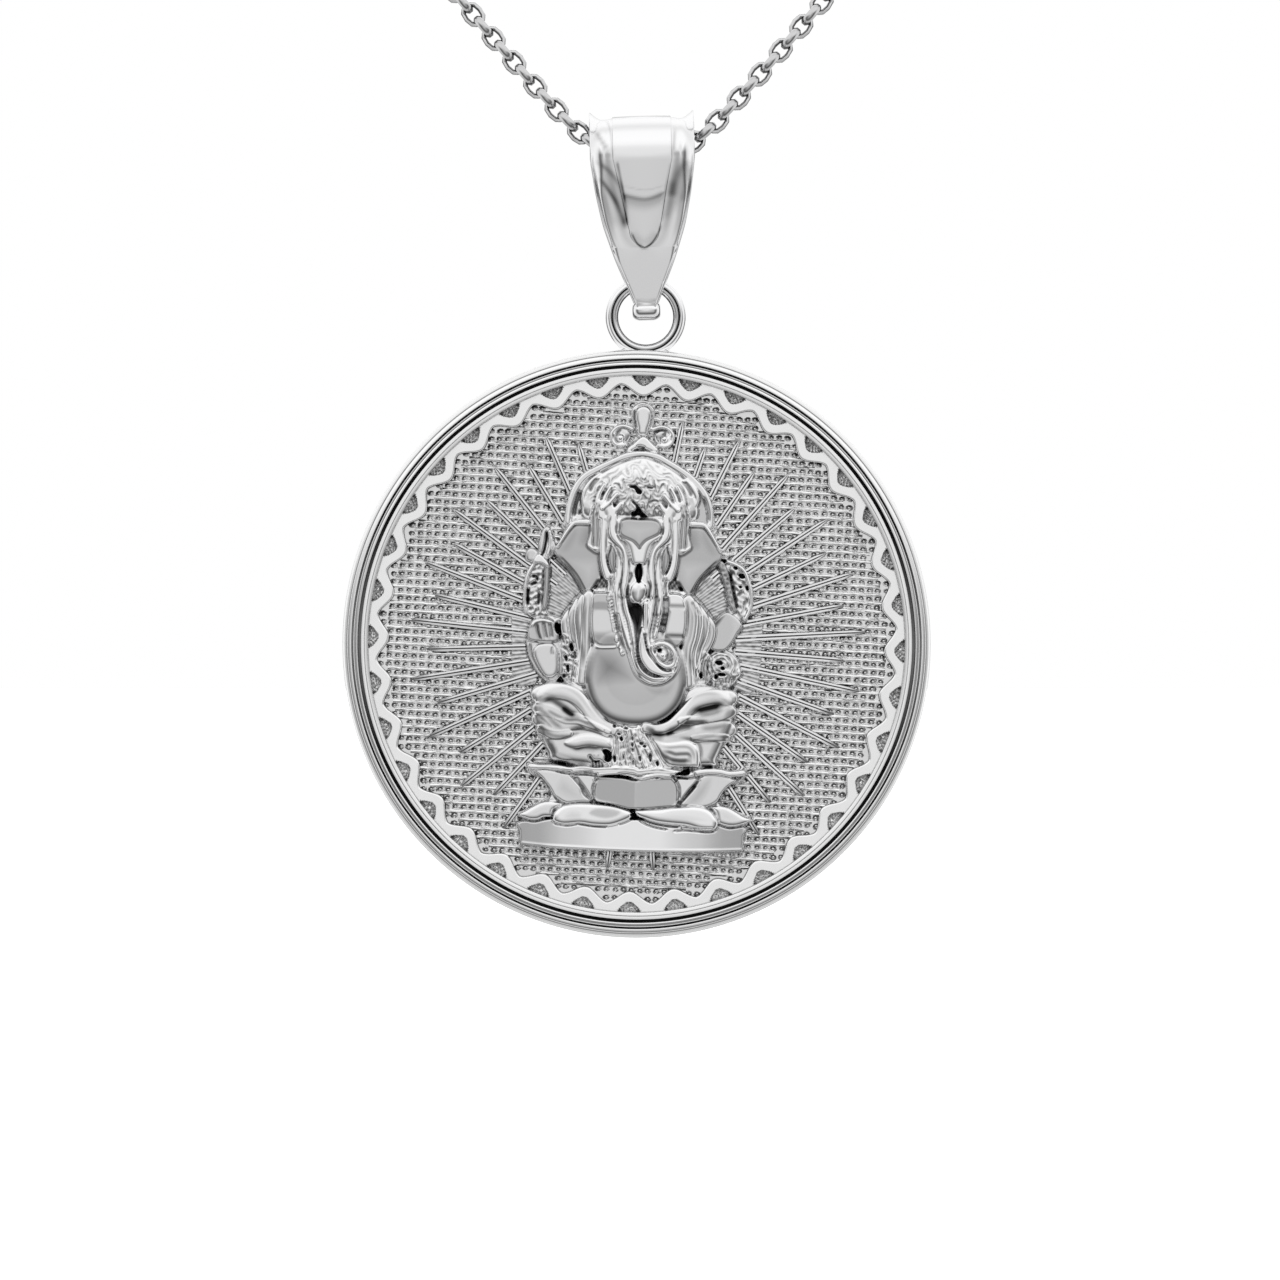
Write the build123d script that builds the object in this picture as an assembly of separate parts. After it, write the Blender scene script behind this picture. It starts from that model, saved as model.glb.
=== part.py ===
from build123d import *
import os
from collections import namedtuple
from math import cos, pi, radians, sin, sqrt, tan

# Round relief medallion on a tapered bail and a fine necklace chain.
# Millimetres, +Z up. The origin is at the nape, +X is to the right of someone facing the pendant,
# which looks towards -Y. The medallion is drawn flat, with its relief towards +Z, and then stood up.

# Medallion
disc_d = 32.0            # outside diameter of the rim
rim_w = 1.56             # rim, from its outer wall to the field
rim_t = 2.20             # rim, front to back
field_t = 0.95           # plate behind the field
back_recess = 0.15       # back of the plate, set in from the back of the rim
rim_chamfer = 0.22       # back edge of the rim
bead_h = 0.45            # rise of the tallest bead over the ledges between the beads
groove_depth = 0.62      # deep groove outside the innermost bead
medallion_lean = 1.6     # degrees that the medallion hangs out of plumb, seen from the front

# Wavy ribbon inside the rim
wave_count = 36
ribbon_w = 0.73
ribbon_amp = 0.33
ribbon_h = 0.50
ribbon_inset = 0.62      # from the rim's inner wall to the ribbon's mean line

# Rays behind the figure
ray_step = 7.53          # degrees between rays
ray_first = 10.2         # degrees from the top to the first ray
ray_count = 19           # on each side
ray_root_w = 0.36
ray_tip_w = 0.12
ray_h = 0.16
ray_root_r = 5.6
ray_inset_long = 1.95    # from the field's edge to the tips of the long rays
ray_inset_short = 3.00
ray_low_angle = 5.8      # the two rays under the base, each side of the bottom
ray_centre_z = 0.27

# Figure in relief
figure_h = 24.3
figure_relief = 2.60     # tallest form over the field
figure_root = 0.25       # how far the forms reach into the plate
strand_tip = 0.93        # rounded ends of the strands, as a share of their radius

# Ring soldered to the top of the rim
ring_wire_d = 0.68
ring_inner_d = 3.00
solder_depth = 0.36      # how far the ring is let into the rim
foot_w = 3.0             # solder at the ring's foot
foot_h = 0.45
foot_t = 0.60

# Bail
bail_w = 5.68
bail_r = 2.12            # outside of the rolled top, over the hinge line
bail_wall = 0.55
bail_drop = 7.00         # from the chain's line to the medallion ring's line
bail_taper = 8.25        # degrees that each wall leans in
bail_ear = 0.24          # how far the ears stand out over the shield
bail_lip = 0.36          # metal left at the ears' edges
bail_bore = 0.62         # straight middle of each wall's inner face, as a share of its width
bail_valley = 0.27       # depth of the channels beside the shield
bail_eye_r = 0.70        # clear space round the medallion's ring, at the middle
bail_eye_flare = 0.25    # how much wider it is at the nose's full width
bail_nose_w = 1.52
bail_nose_below = 2.03   # from the ring's line to the end of the nose
bail_nose_r = 0.90
bail_lean = 1.5          # degrees, the other way from the medallion's

# Chain and clasp
chain_d = 1.20
loop_w = 106.0           # the chain's loop, side to side
loop_depth = 104.0       # from the nape forwards to the bail
loop_drop = 95.0         # from the nape down to the bail's hinge line
chain_dip = 0.51         # the chain's lowest point, under the hinge line
chain_turn = 1.93        # from the middle of the bail to where the chain starts to rise
end_gap = 0.15           # between the chain's ends and the clasp's rings
clasp_ring_d = 4.6       # across the middle of the wire
clasp_wire_d = 1.0
clasp_eye_d = 1.5
clasp_eye_wire_d = 0.55
clasp_knob_d = 0.9
clasp_knob_h = 0.8
end_ring_d = 2.6
end_ring_wire_d = 0.56
clasp_x = -1.6

# Route of the chain from the bail to the nape, the same on both sides: shares of half the loop's width,
# of its depth and of its drop
Stop = namedtuple("Stop", "across forward down")
chain_stops = [
    Stop(across=0.136, forward=0.994, down=0.945),
    Stop(across=0.302, forward=0.973, down=0.832),
    Stop(across=0.557, forward=0.899, down=0.637),
    Stop(across=0.821, forward=0.750, down=0.395),
    Stop(across=1.000, forward=0.534, down=0.184),
    Stop(across=0.991, forward=0.269, down=0.058),
    Stop(across=0.736, forward=0.077, down=0.008),
    Stop(across=0.321, forward=0.000, down=0.000),
]
arc_share = 0.45         # of the shorter run, taken up by each rounded corner

os.makedirs("parts", exist_ok=True)

disc_r = disc_d / 2
rim_front = rim_t / 2
rim_back = -rim_t / 2
plate_back = rim_back + back_recess
field_front = plate_back + field_t
field_r = disc_r - rim_w
ring_r = (ring_inner_d + ring_wire_d) / 2
ring_up = disc_r - solder_depth + ring_r + ring_wire_d / 2
unit = figure_h / 100    # the figure's tables are in hundredths of its height

# Beads of the rim's front, from outside in: edges and crown as shares of the rim's width, how far they
# lie under the rim's front as shares of the beads' rise, and the share of the deep groove outside them
Bead = namedtuple("Bead", "outer crown inner edge_drop crown_drop groove")
rim_beads = [
    Bead(outer=0.00, crown=0.17, inner=0.42, edge_drop=0.93, crown_drop=0.00, groove=0),
    Bead(outer=0.44, crown=0.51, inner=0.58, edge_drop=0.89, crown_drop=0.40, groove=0),
    Bead(outer=0.68, crown=0.74, inner=0.80, edge_drop=0.93, crown_drop=0.44, groove=1),
    Bead(outer=0.82, crown=0.90, inner=0.98, edge_drop=1.00, crown_drop=0.67, groove=0),
]

# Bail stations down each wall, from the hinge line: shares of the drop, of the half width, and of
# the ears' and the channels' size
Station = namedtuple("Station", "down half_w shield ear valley")
bail_stations = [
    Station(down=0.00, half_w=1.00, shield=0.50, ear=1.00, valley=1.0),
    Station(down=0.24, half_w=0.92, shield=0.50, ear=0.80, valley=1.0),
    Station(down=0.50, half_w=0.79, shield=0.48, ear=0.50, valley=1.0),
    Station(down=0.77, half_w=0.58, shield=0.06, ear=0.20, valley=0.4),
    Station(down=1.03, half_w=0.34, shield=0.06, ear=0.00, valley=0.1),
    Station(down=1.16, half_w=0.22, shield=0.06, ear=0.00, valley=0.1),
]

# Rounded masses of the figure: centre, half-widths, turn in degrees, and the height over the field as
# a share of the tallest
Mass = namedtuple("Mass", "x z half_w half_h lift turn")
# Strands of the figure, such as the trunk, the arms and the folds of the shawl: centre line, height of
# the line as a share of the tallest form, and radius
Knot = namedtuple("Knot", "x z lift r")
# Flat forms of the figure: an outline of corners joined by straight edges, or by an arc through the
# point that a corner names, with one height as a share of the tallest
Corner = namedtuple("Corner", "x z via", defaults=[None])
Flat = namedtuple("Flat", "lift mirrored corners")

lotus = [
    Flat(0.46, False, [
        Corner(-25.0, -39.8), Corner(25.2, -39.8), Corner(25.2, -46.4),
        Corner(-24.9, -46.4, via=(0.1, -47.4))]),
    Flat(0.50, False, [
        Corner(-23.6, -27.0), Corner(23.6, -27.0), Corner(12.0, -40.5, via=(19.0, -34.6)),
        Corner(-12.0, -40.5), Corner(-23.6, -27.0, via=(-19.0, -34.6))]),
    Flat(0.70, False, [
        Corner(-9.0, -29.0), Corner(9.4, -29.0, via=(0.2, -30.2)), Corner(9.0, -37.4, via=(10.6, -33.2)),
        Corner(-8.4, -37.4), Corner(-9.0, -29.0, via=(-10.0, -33.2))]),
    Flat(0.60, True, [
        Corner(10.0, -28.2), Corner(15.6, -27.3, via=(13.0, -28.0)), Corner(9.6, -36.8, via=(13.8, -33.2))]),
    Flat(0.54, True, [
        Corner(15.2, -27.7), Corner(24.8, -28.2, via=(20.0, -26.4)), Corner(13.0, -38.2, via=(20.4, -34.4))]),
    Mass(x=-21.2, z=-38.2, half_w=5.0, half_h=2.4, lift=0.52, turn=-6),
    Mass(x=-8.6, z=-38.7, half_w=9.2, half_h=2.9, lift=0.64, turn=2),
    Mass(x=10.2, z=-38.8, half_w=9.4, half_h=2.9, lift=0.64, turn=-2),
    Mass(x=22.4, z=-38.1, half_w=4.9, half_h=2.4, lift=0.52, turn=6),
]
legs = [
    Flat(0.36, False, [
        Corner(-11.0, -20.0), Corner(6.5, -20.0), Corner(7.5, -27.8), Corner(-12.0, -27.8)]),
    Mass(x=-13.4, z=-17.6, half_w=9.6, half_h=6.6, lift=0.66, turn=-14),
    Mass(x=13.6, z=-17.4, half_w=9.6, half_h=6.6, lift=0.66, turn=14),
    Mass(x=-12.6, z=-23.7, half_w=9.4, half_h=3.6, lift=0.58, turn=5),
    Mass(x=12.2, z=-23.6, half_w=9.6, half_h=3.6, lift=0.58, turn=-6),
    Mass(x=9.4, z=-24.7, half_w=5.0, half_h=1.7, lift=0.72, turn=-6),
]
torso = [
    Flat(0.40, False, [
        Corner(-11.8, 14.0), Corner(11.8, 14.0), Corner(13.2, -14.0, via=(15.2, 0.0)),
        Corner(-13.2, -14.0), Corner(-11.8, 14.0, via=(-15.2, 0.0))]),
    Mass(x=0.0, z=-7.0, half_w=11.6, half_h=11.0, lift=0.80, turn=0),
    Mass(x=-7.6, z=4.6, half_w=6.4, half_h=8.6, lift=0.66, turn=8),
    Mass(x=8.4, z=5.2, half_w=6.2, half_h=8.2, lift=0.66, turn=-8),
    [Knot(-10.4, 13.0, 0.22, 2.2), Knot(-13.0, 6.0, 0.32, 2.6), Knot(-14.6, -1.0, 0.36, 2.5),
     Knot(-13.6, -9.7, 0.37, 2.4)],
    [Knot(10.4, 13.0, 0.22, 2.2), Knot(13.2, 6.0, 0.32, 2.6), Knot(14.8, -0.4, 0.36, 2.5),
     Knot(13.8, -9.0, 0.36, 2.4)],
]
head = [
    Flat(0.26, False, [
        Corner(-16.5, 25.8), Corner(-10.9, 39.0, via=(-15.4, 33.8)), Corner(0.0, 43.2, via=(-5.6, 41.0)),
        Corner(10.9, 39.0, via=(5.6, 41.0)), Corner(16.5, 25.8, via=(15.4, 33.8))]),
    Flat(0.32, True, [
        Corner(7.0, 27.0), Corner(13.6, 27.2), Corner(18.2, 21.2, via=(17.2, 25.2)),
        Corner(12.4, 10.6, via=(16.8, 15.2)), Corner(7.0, 13.0)]),
    Mass(x=0.0, z=34.0, half_w=12.6, half_h=7.4, lift=0.60, turn=0),
    Mass(x=0.0, z=21.5, half_w=9.4, half_h=11.5, lift=0.72, turn=0),
    Mass(x=-3.6, z=26.0, half_w=3.6, half_h=3.4, lift=0.86, turn=12),
    Mass(x=3.6, z=26.0, half_w=3.6, half_h=3.4, lift=0.86, turn=-12),
    Mass(x=-6.2, z=19.2, half_w=2.9, half_h=1.1, lift=0.82, turn=-14),
    Mass(x=6.2, z=19.2, half_w=2.9, half_h=1.1, lift=0.82, turn=14),
    [Knot(-9.6, 31.0, 0.42, 1.5), Knot(-10.6, 25.0, 0.40, 1.4), Knot(-10.0, 19.6, 0.36, 1.0)],
    [Knot(9.6, 31.0, 0.42, 1.5), Knot(10.6, 25.0, 0.40, 1.4), Knot(10.0, 19.6, 0.36, 1.0)],
]
trunk = [
    [Knot(0.0, 21.0, 0.50, 5.4), Knot(0.2, 14.0, 0.56, 4.6), Knot(0.2, 7.0, 0.62, 4.0),
     Knot(0.0, 0.5, 0.70, 3.5), Knot(1.2, -4.2, 0.74, 3.0)],
    [Knot(0.9, -3.4, 0.74, 2.9), Knot(2.8, -6.6, 0.76, 2.5), Knot(5.8, -7.7, 0.78, 2.2),
     Knot(8.6, -5.8, 0.79, 1.9), Knot(9.2, -2.6, 0.80, 1.6), Knot(7.6, -0.2, 0.81, 1.3)],
]
finial = [
    Mass(x=0.0, z=49.2, half_w=2.1, half_h=3.6, lift=0.18, turn=0),
    Mass(x=0.0, z=44.8, half_w=3.2, half_h=2.6, lift=0.24, turn=0),
    Mass(x=-4.5, z=46.3, half_w=2.2, half_h=2.0, lift=0.14, turn=0),
    Mass(x=4.5, z=46.3, half_w=2.2, half_h=2.0, lift=0.14, turn=0),
]
left_arms = [
    [Knot(-14.6, 3.0, 0.16, 2.4), Knot(-19.0, 2.6, 0.16, 2.2), Knot(-22.4, 5.2, 0.14, 2.0)],
    [Knot(-22.4, 4.6, 0.14, 2.0), Knot(-23.0, 11.0, 0.16, 2.1), Knot(-22.6, 16.6, 0.14, 1.7),
     Knot(-20.6, 19.6, 0.12, 1.2)],
    [Knot(-20.6, 8.0, 0.18, 0.7), Knot(-19.2, 22.6, 0.18, 0.6)],
    Flat(0.22, False, [
        Corner(-19.0, 23.6), Corner(-21.6, 24.0), Corner(-22.2, 19.2, via=(-23.2, 21.6)),
        Corner(-19.0, 19.8)]),
    [Knot(-13.6, -4.6, 0.26, 2.3), Knot(-18.6, -3.4, 0.22, 2.0)],
    Mass(x=-19.8, z=-1.6, half_w=2.7, half_h=3.4, lift=0.34, turn=10),
    Mass(x=-22.1, z=2.4, half_w=0.75, half_h=2.6, lift=0.22, turn=12),
    Mass(x=-20.7, z=3.0, half_w=0.75, half_h=2.9, lift=0.24, turn=6),
    Mass(x=-19.2, z=3.0, half_w=0.75, half_h=2.9, lift=0.24, turn=-2),
    Mass(x=-17.7, z=2.2, half_w=0.75, half_h=2.5, lift=0.22, turn=-10),
]
right_arms = [
    [Knot(14.8, 3.0, 0.16, 2.4), Knot(19.6, 2.8, 0.16, 2.3), Knot(22.8, 6.2, 0.14, 2.0)],
    [Knot(22.8, 5.2, 0.14, 2.0), Knot(23.4, 11.5, 0.16, 2.1), Knot(22.8, 17.6, 0.14, 1.7),
     Knot(21.0, 21.6, 0.12, 1.2)],
    [Knot(12.6, -6.2, 0.30, 2.2), Knot(17.4, -5.4, 0.28, 2.0)],
    Mass(x=19.3, z=-5.1, half_w=3.5, half_h=3.6, lift=0.46, turn=0),
    Mass(x=22.9, z=-5.6, half_w=1.2, half_h=1.7, lift=0.24, turn=0),
    Mass(x=14.6, z=-5.8, half_w=3.4, half_h=2.6, lift=0.42, turn=15),
]
figure_groups = [lotus, legs, torso, head, trunk, finial, left_arms, right_arms]


def rim_profile():
    """Half section of the rim, from the field's edge over the beads to the back."""
    end = (disc_r, rim_back + rim_chamfer)
    edges = []
    for bead in rim_beads:
        ledge = rim_front - bead.edge_drop * bead_h
        start = (disc_r - bead.outer * rim_w, ledge)
        if bead.groove:
            low = ledge - bead.groove * groove_depth
            edges.append(Polyline(end, (end[0], low), (start[0], low), start))
        else:
            edges.append(Line(end, start))
        crown = (disc_r - bead.crown * rim_w, rim_front - bead.crown_drop * bead_h)
        end = (disc_r - bead.inner * rim_w, ledge)
        edges.append(ThreePointArc(start, crown, end))
    edges.append(Polyline(end, (field_r, field_front - figure_root), (field_r, rim_back),
                          (disc_r - rim_chamfer, rim_back), (disc_r, rim_back + rim_chamfer)))
    return make_face(edges)


def plate_and_rim():
    """The plate behind the field, and the beaded rim round it."""
    plate = Cylinder(field_r + rim_w / 4, field_t, align=(Align.CENTER, Align.CENTER, Align.MIN))
    rim = revolve(Plane.XZ * rim_profile(), axis=Axis.Z, revolution_arc=360)
    return Pos(0, 0, plate_back) * plate, rim


def polar(radius, angle):
    """A point of the disc's face at an angle in degrees from +X."""
    return Vector(radius * cos(radians(angle)), radius * sin(radians(angle)))


def wave_face(offset):
    """The disc inside one edge of the wavy ribbon, whose waves are arcs."""
    mean_r = field_r - ribbon_inset
    half_wave = 180 / wave_count
    slope = ribbon_amp * wave_count / mean_r
    node_r = mean_r + offset * sqrt(1 + slope * slope)
    arcs = []
    for i in range(2 * wave_count):
        middle = 90 + i * half_wave
        swing = ribbon_amp if i % 2 else -ribbon_amp
        arcs.append(ThreePointArc(polar(node_r, middle - half_wave / 2),
                                  polar(mean_r + swing + offset, middle),
                                  polar(node_r, middle + half_wave / 2)))
    return make_face(arcs)


def ribbon():
    """The wavy ribbon that stands on the field inside the rim."""
    face = wave_face(ribbon_w / 2) - wave_face(-ribbon_w / 2)
    return extrude(Pos(0, 0, field_front - figure_root) * face, amount=ribbon_h + figure_root)


def ray(angle, inset):
    """One tapered ray, from beneath the figure to its tip near the ribbon."""
    tip_r = field_r - inset
    rise = ray_centre_z * sin(radians(angle))
    length = sqrt(tip_r * tip_r - ray_centre_z * ray_centre_z + rise * rise) - rise
    outline = make_face(Polyline((ray_root_r, -ray_root_w / 2), (length, -ray_tip_w / 2),
                                 (length, ray_tip_w / 2), (ray_root_r, ray_root_w / 2), close=True))
    bar = extrude(outline, amount=ray_h + figure_root)
    return Pos(0, ray_centre_z, field_front - figure_root) * Rot(0, 0, angle) * bar


def rays():
    """Fans of long and short rays on both sides, and two rays under the base."""
    bars = []
    for k in range(ray_count):
        inset = ray_inset_short if k % 2 else ray_inset_long
        bars.append(ray(90 - ray_first - k * ray_step, inset))
        if k > 0:
            bars.append(ray(90 + ray_first + k * ray_step, inset))
    for side in (-1, 1):
        bars.append(ray(270 + side * ray_low_angle, ray_inset_long))
    return bars


def mass_form(row):
    """A rounded mass, centred on the field's surface."""
    ball = scale(Sphere(1), by=(row.half_w * unit, row.half_h * unit, row.lift * figure_relief))
    return Pos(row.x * unit, row.z * unit, field_front) * Rot(0, 0, row.turn) * ball


def strand_form(knots):
    """A round strand lofted through its knots, with a rounded free end."""
    points = [Vector(k.x * unit, k.z * unit, field_front + k.lift * figure_relief) for k in knots]
    sections = []
    for i, knot in enumerate(knots):
        before = points[max(i - 1, 0)]
        after = points[min(i + 1, len(points) - 1)]
        sections.append(Plane(origin=points[i], z_dir=after - before) * Circle(knot.r * unit))
    return loft(sections).fuse(Pos(points[-1]) * Sphere(strand_tip * knots[-1].r * unit))


def flat_form(row, flip):
    """A flat form of the figure from its outline, or its mirror image."""
    edges = []
    for i, corner in enumerate(row.corners):
        before = row.corners[i - 1]
        start = (flip * before.x * unit, before.z * unit)
        end = (flip * corner.x * unit, corner.z * unit)
        if start == end:
            continue
        if corner.via:
            edges.append(ThreePointArc(start, (flip * corner.via[0] * unit, corner.via[1] * unit), end))
        else:
            edges.append(Line(start, end))
    outline = Pos(0, 0, field_front - figure_root) * make_face(edges)
    return extrude(outline, amount=row.lift * figure_relief + figure_root)


def group_forms(rows):
    """The solids of one group of the figure's forms, cut off under the field."""
    forms = []
    for row in rows:
        if isinstance(row, Mass):
            forms.append(mass_form(row))
        elif isinstance(row, Flat):
            forms.append(flat_form(row, 1))
            if row.mirrored:
                forms.append(flat_form(row, -1))
        else:
            forms.append(strand_form(row))
    over_field = Pos(0, 0, field_front - figure_root) * Box(
        disc_d, disc_d, 2 * figure_relief, align=(Align.CENTER, Align.CENTER, Align.MIN))
    return [form & over_field for form in forms]


def medallion():
    """The whole medallion with its soldered ring, drawn flat, then stood up and hung from the ring."""
    plate, rim = plate_and_rim()
    ring = Pos(0, ring_up, 0) * Torus(ring_r, ring_wire_d / 2)
    foot = Pos(0, disc_r - solder_depth, 0) * Box(foot_w, 2 * foot_h + 2 * solder_depth, foot_t)
    foot = foot - Pos(0, ring_up, 0) * Cylinder(ring_r, ring_wire_d)
    base = plate.fuse(rim, ribbon(), ring, foot, *rays())
    groups = []
    for rows in figure_groups:
        forms = group_forms(rows)
        groups.append(forms[0].fuse(*forms[1:]))
    body = base.fuse(*groups)
    stood = Rot(0, medallion_lean, 0) * Pos(0, 0, -ring_up) * Rot(90, 0, 0) * body
    return Pos(0, 0, -ring_r) * stood


def bail_section(station):
    """Section of a wall across the shield, the channels and the ears, as distances from the hinge line."""
    half = station.half_w * bail_w / 2
    shield = station.shield * half
    channel = bail_r - station.valley * bail_valley
    ear = bail_r + station.ear * bail_ear
    inside = bail_r - bail_wall
    lip = max(ear - bail_lip, inside)
    right = [(shield, bail_r), (shield + bail_valley / 2, channel), (half, ear), (half, lip),
             (bail_bore * half, inside)]
    left = [(-x, y) for x, y in reversed(right)]
    return make_face(Polyline(*right, *left, close=True))


def bail():
    """The hollow tapered bail, with the hinge line along X at the origin."""
    lean = radians(bail_taper)
    down = Vector(0, sin(lean), -cos(lean))
    sections = []
    for station in bail_stations:
        place = Plane(origin=down * (station.down * bail_drop), x_dir=(1, 0, 0), z_dir=down)
        sections.append(place * bail_section(station))
    front = loft(sections, ruled=True)
    top = revolve(sections[0], axis=Axis((0, 0, 0), (-1, 0, 0)), revolution_arc=180 + 2 * bail_taper)
    nose_z = -bail_drop - bail_nose_below + bail_nose_r
    nose = Pos(0, 0, nose_z) * Rot(0, 90, 0) * Cylinder(bail_nose_r, bail_nose_w)
    nose = fillet(nose.edges(), bail_nose_r / 3)
    flare = Rot(0, 90, 0) * Cone(bail_eye_r, bail_eye_r + bail_eye_flare, bail_nose_w,
                                 align=(Align.CENTER, Align.CENTER, Align.MIN))
    eye = Pos(0, 0, -bail_drop) * (flare + mirror(flare, about=Plane.YZ))
    body = top.fuse(front, mirror(front, about=Plane.XZ), nose) - eye
    return Rot(0, -bail_lean, 0) * body


def chain_halves():
    """The chain as a round tube along its route, cut in two at its lowest point."""
    left_end = Vector(clasp_x - clasp_reach() - end_gap, 0, 0)
    right_end = Vector(end_ring_x() + (end_ring_d + end_ring_wire_d) / 2 + end_gap, 0, 0)
    side = [Vector(chain_turn, -loop_depth, -loop_drop - chain_dip)]
    for stop in chain_stops:
        side.append(Vector(stop.across * loop_w / 2, -stop.forward * loop_depth, -stop.down * loop_drop))
    other_side = [Vector(-point.X, point.Y, point.Z) for point in reversed(side)]
    points = [left_end, *other_side, *side, right_end]
    runs = [(b - a).length for a, b in zip(points, points[1:])]
    radii = []
    for i in range(1, len(points) - 1):
        turn = (points[i] - points[i - 1]).get_angle(points[i + 1] - points[i])
        radii.append(arc_share * min(runs[i - 1], runs[i]) / tan(radians(turn / 2)))
    path = FilletPolyline(*points, radius=radii)
    tube = sweep(Plane(origin=path @ 0, z_dir=path % 0) * Circle(chain_d / 2), path=path)
    print("chain bend radii", [round(r, 1) for r in radii])
    print("chain length", round(path.length, 2), "volume over section times length",
          round(tube.volume / (pi * chain_d * chain_d / 4 * path.length), 4))
    return split(tube, bisect_by=Plane.YZ, keep=Keep.BOTTOM), split(tube, bisect_by=Plane.YZ, keep=Keep.TOP)


def clasp_reach():
    """From the middle of the clasp's ring to the outside of its eye."""
    return (clasp_ring_d + clasp_wire_d) / 2 + clasp_eye_d + clasp_eye_wire_d - clasp_wire_d / 4


def clasp():
    """A plain spring ring with its eye and thumb knob, closed."""
    ring = Pos(clasp_x, 0, 0) * Rot(90, 0, 0) * Torus(clasp_ring_d / 2, clasp_wire_d / 2)
    eye_x = clasp_x - clasp_reach() + (clasp_eye_d + clasp_eye_wire_d) / 2
    eye = Pos(eye_x, 0, 0) * Rot(90, 0, 0) * Torus(clasp_eye_d / 2, clasp_eye_wire_d / 2)
    knob = Pos(clasp_x, 0, clasp_ring_d / 2) * Cylinder(
        clasp_knob_d / 2, clasp_wire_d / 2 + clasp_knob_h, align=(Align.CENTER, Align.CENTER, Align.MIN))
    return ring.fuse(eye, knob)


def end_ring_x():
    """Middle of the jump ring, hooked through the clasp's ring with a small gap."""
    inner_edge = clasp_x + (clasp_ring_d - clasp_wire_d) / 2
    return inner_edge - end_gap + (end_ring_d - end_ring_wire_d) / 2


def end_ring():
    """The plain jump ring that the clasp holds."""
    return Pos(end_ring_x(), 0, 0) * Torus(end_ring_d / 2, end_ring_wire_d / 2)


def main():
    chain_left, chain_right = chain_halves()
    seat = Pos(0, -loop_depth, -loop_drop)
    hang = seat * Pos(bail_drop * sin(radians(bail_lean)), 0, -bail_drop * cos(radians(bail_lean)))
    nodes = {
        "chain_left": chain_left,
        "chain_right": chain_right,
        "clasp": clasp(),
        "end_ring": end_ring(),
        "bail": seat * bail(),
        "medallion": hang * medallion(),
    }
    for name, solid in nodes.items():
        print(name, len(solid.solids()), "solid, volume", round(solid.volume, 2), "valid", solid.is_valid)
        export_step(solid, f"parts/{name}.step")


if __name__ == "__main__":
    main()
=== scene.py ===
import math
import random
import bmesh
import bpy
import numpy as np
from mathutils import Matrix, Vector


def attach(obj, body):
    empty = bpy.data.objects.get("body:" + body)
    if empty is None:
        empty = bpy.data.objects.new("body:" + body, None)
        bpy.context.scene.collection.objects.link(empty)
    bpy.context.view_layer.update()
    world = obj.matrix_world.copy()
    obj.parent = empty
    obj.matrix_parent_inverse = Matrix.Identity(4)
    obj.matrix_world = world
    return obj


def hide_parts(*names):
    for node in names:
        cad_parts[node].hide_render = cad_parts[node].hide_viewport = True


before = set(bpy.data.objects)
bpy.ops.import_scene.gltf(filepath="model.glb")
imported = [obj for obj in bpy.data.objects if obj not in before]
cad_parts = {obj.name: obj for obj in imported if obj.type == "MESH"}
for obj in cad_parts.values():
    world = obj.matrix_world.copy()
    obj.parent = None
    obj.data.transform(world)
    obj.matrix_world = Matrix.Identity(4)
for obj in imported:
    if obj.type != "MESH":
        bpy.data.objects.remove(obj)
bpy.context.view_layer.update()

bl_info = {
    "name": "Relief medallion necklace",
    "version": (1, 0, 0),
    "blender": (4, 5, 0),
    "location": "3D View > Sidebar > Necklace",
    "description": "Dresses the necklace: medallion, bail, linked chain and clasp",
    "category": "Object",
}

# Lengths are millimetres in each piece's own drawing, and metres once it is put in its place.
MM = 0.001

# Places, as in the part's source
LOOP_W = 106.0
LOOP_DEPTH = 104.0
LOOP_DROP = 95.0
CHAIN_DIP = 0.51
CHAIN_TURN = 1.93
BAIL_DROP = 7.0
BAIL_TAPER = 8.25
BAIL_LEAN = 1.5
RING_R = 1.84
RING_UP = 17.82
MEDALLION_LEAN = 1.6

SEAT = Matrix.Translation((0, -LOOP_DEPTH * MM, -LOOP_DROP * MM))
HANG = SEAT @ Matrix.Translation((BAIL_DROP * math.sin(math.radians(BAIL_LEAN)) * MM, 0,
                                  -BAIL_DROP * math.cos(math.radians(BAIL_LEAN)) * MM))
BAIL_PLACE = SEAT @ Matrix.Rotation(math.radians(-BAIL_LEAN), 4, "Y") @ Matrix.Scale(MM, 4)
MEDALLION_PLACE = (HANG @ Matrix.Translation((0, 0, -RING_R * MM))
                   @ Matrix.Rotation(math.radians(MEDALLION_LEAN), 4, "Y")
                   @ Matrix.Translation((0, 0, -RING_UP * MM))
                   @ Matrix.Rotation(math.radians(90), 4, "X") @ Matrix.Scale(MM, 4))


# ---- shaders ----

class Value:
    """A socket of a shader, so that sums on it are written as sums."""

    def __init__(self, graph, socket):
        self.graph = graph
        self.socket = socket

    def math(self, operation, other=None):
        """A math node on this socket and another socket or number."""
        sockets = {0: self}
        if other is not None:
            sockets[1] = other
        return self.graph.node("ShaderNodeMath", {"operation": operation}, sockets)

    def __add__(self, other):
        return self.math("ADD", other)

    def __mul__(self, other):
        return self.math("MULTIPLY", other)

    def __sub__(self, other):
        return self.math("SUBTRACT", other)

    def __rsub__(self, other):
        return self.graph.node("ShaderNodeMath", {"operation": "SUBTRACT"}, {0: other, 1: self})

    def __truediv__(self, other):
        return self.math("DIVIDE", other)

    def clamp(self):
        return self.graph.node("ShaderNodeClamp", {}, {"Value": self})


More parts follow.
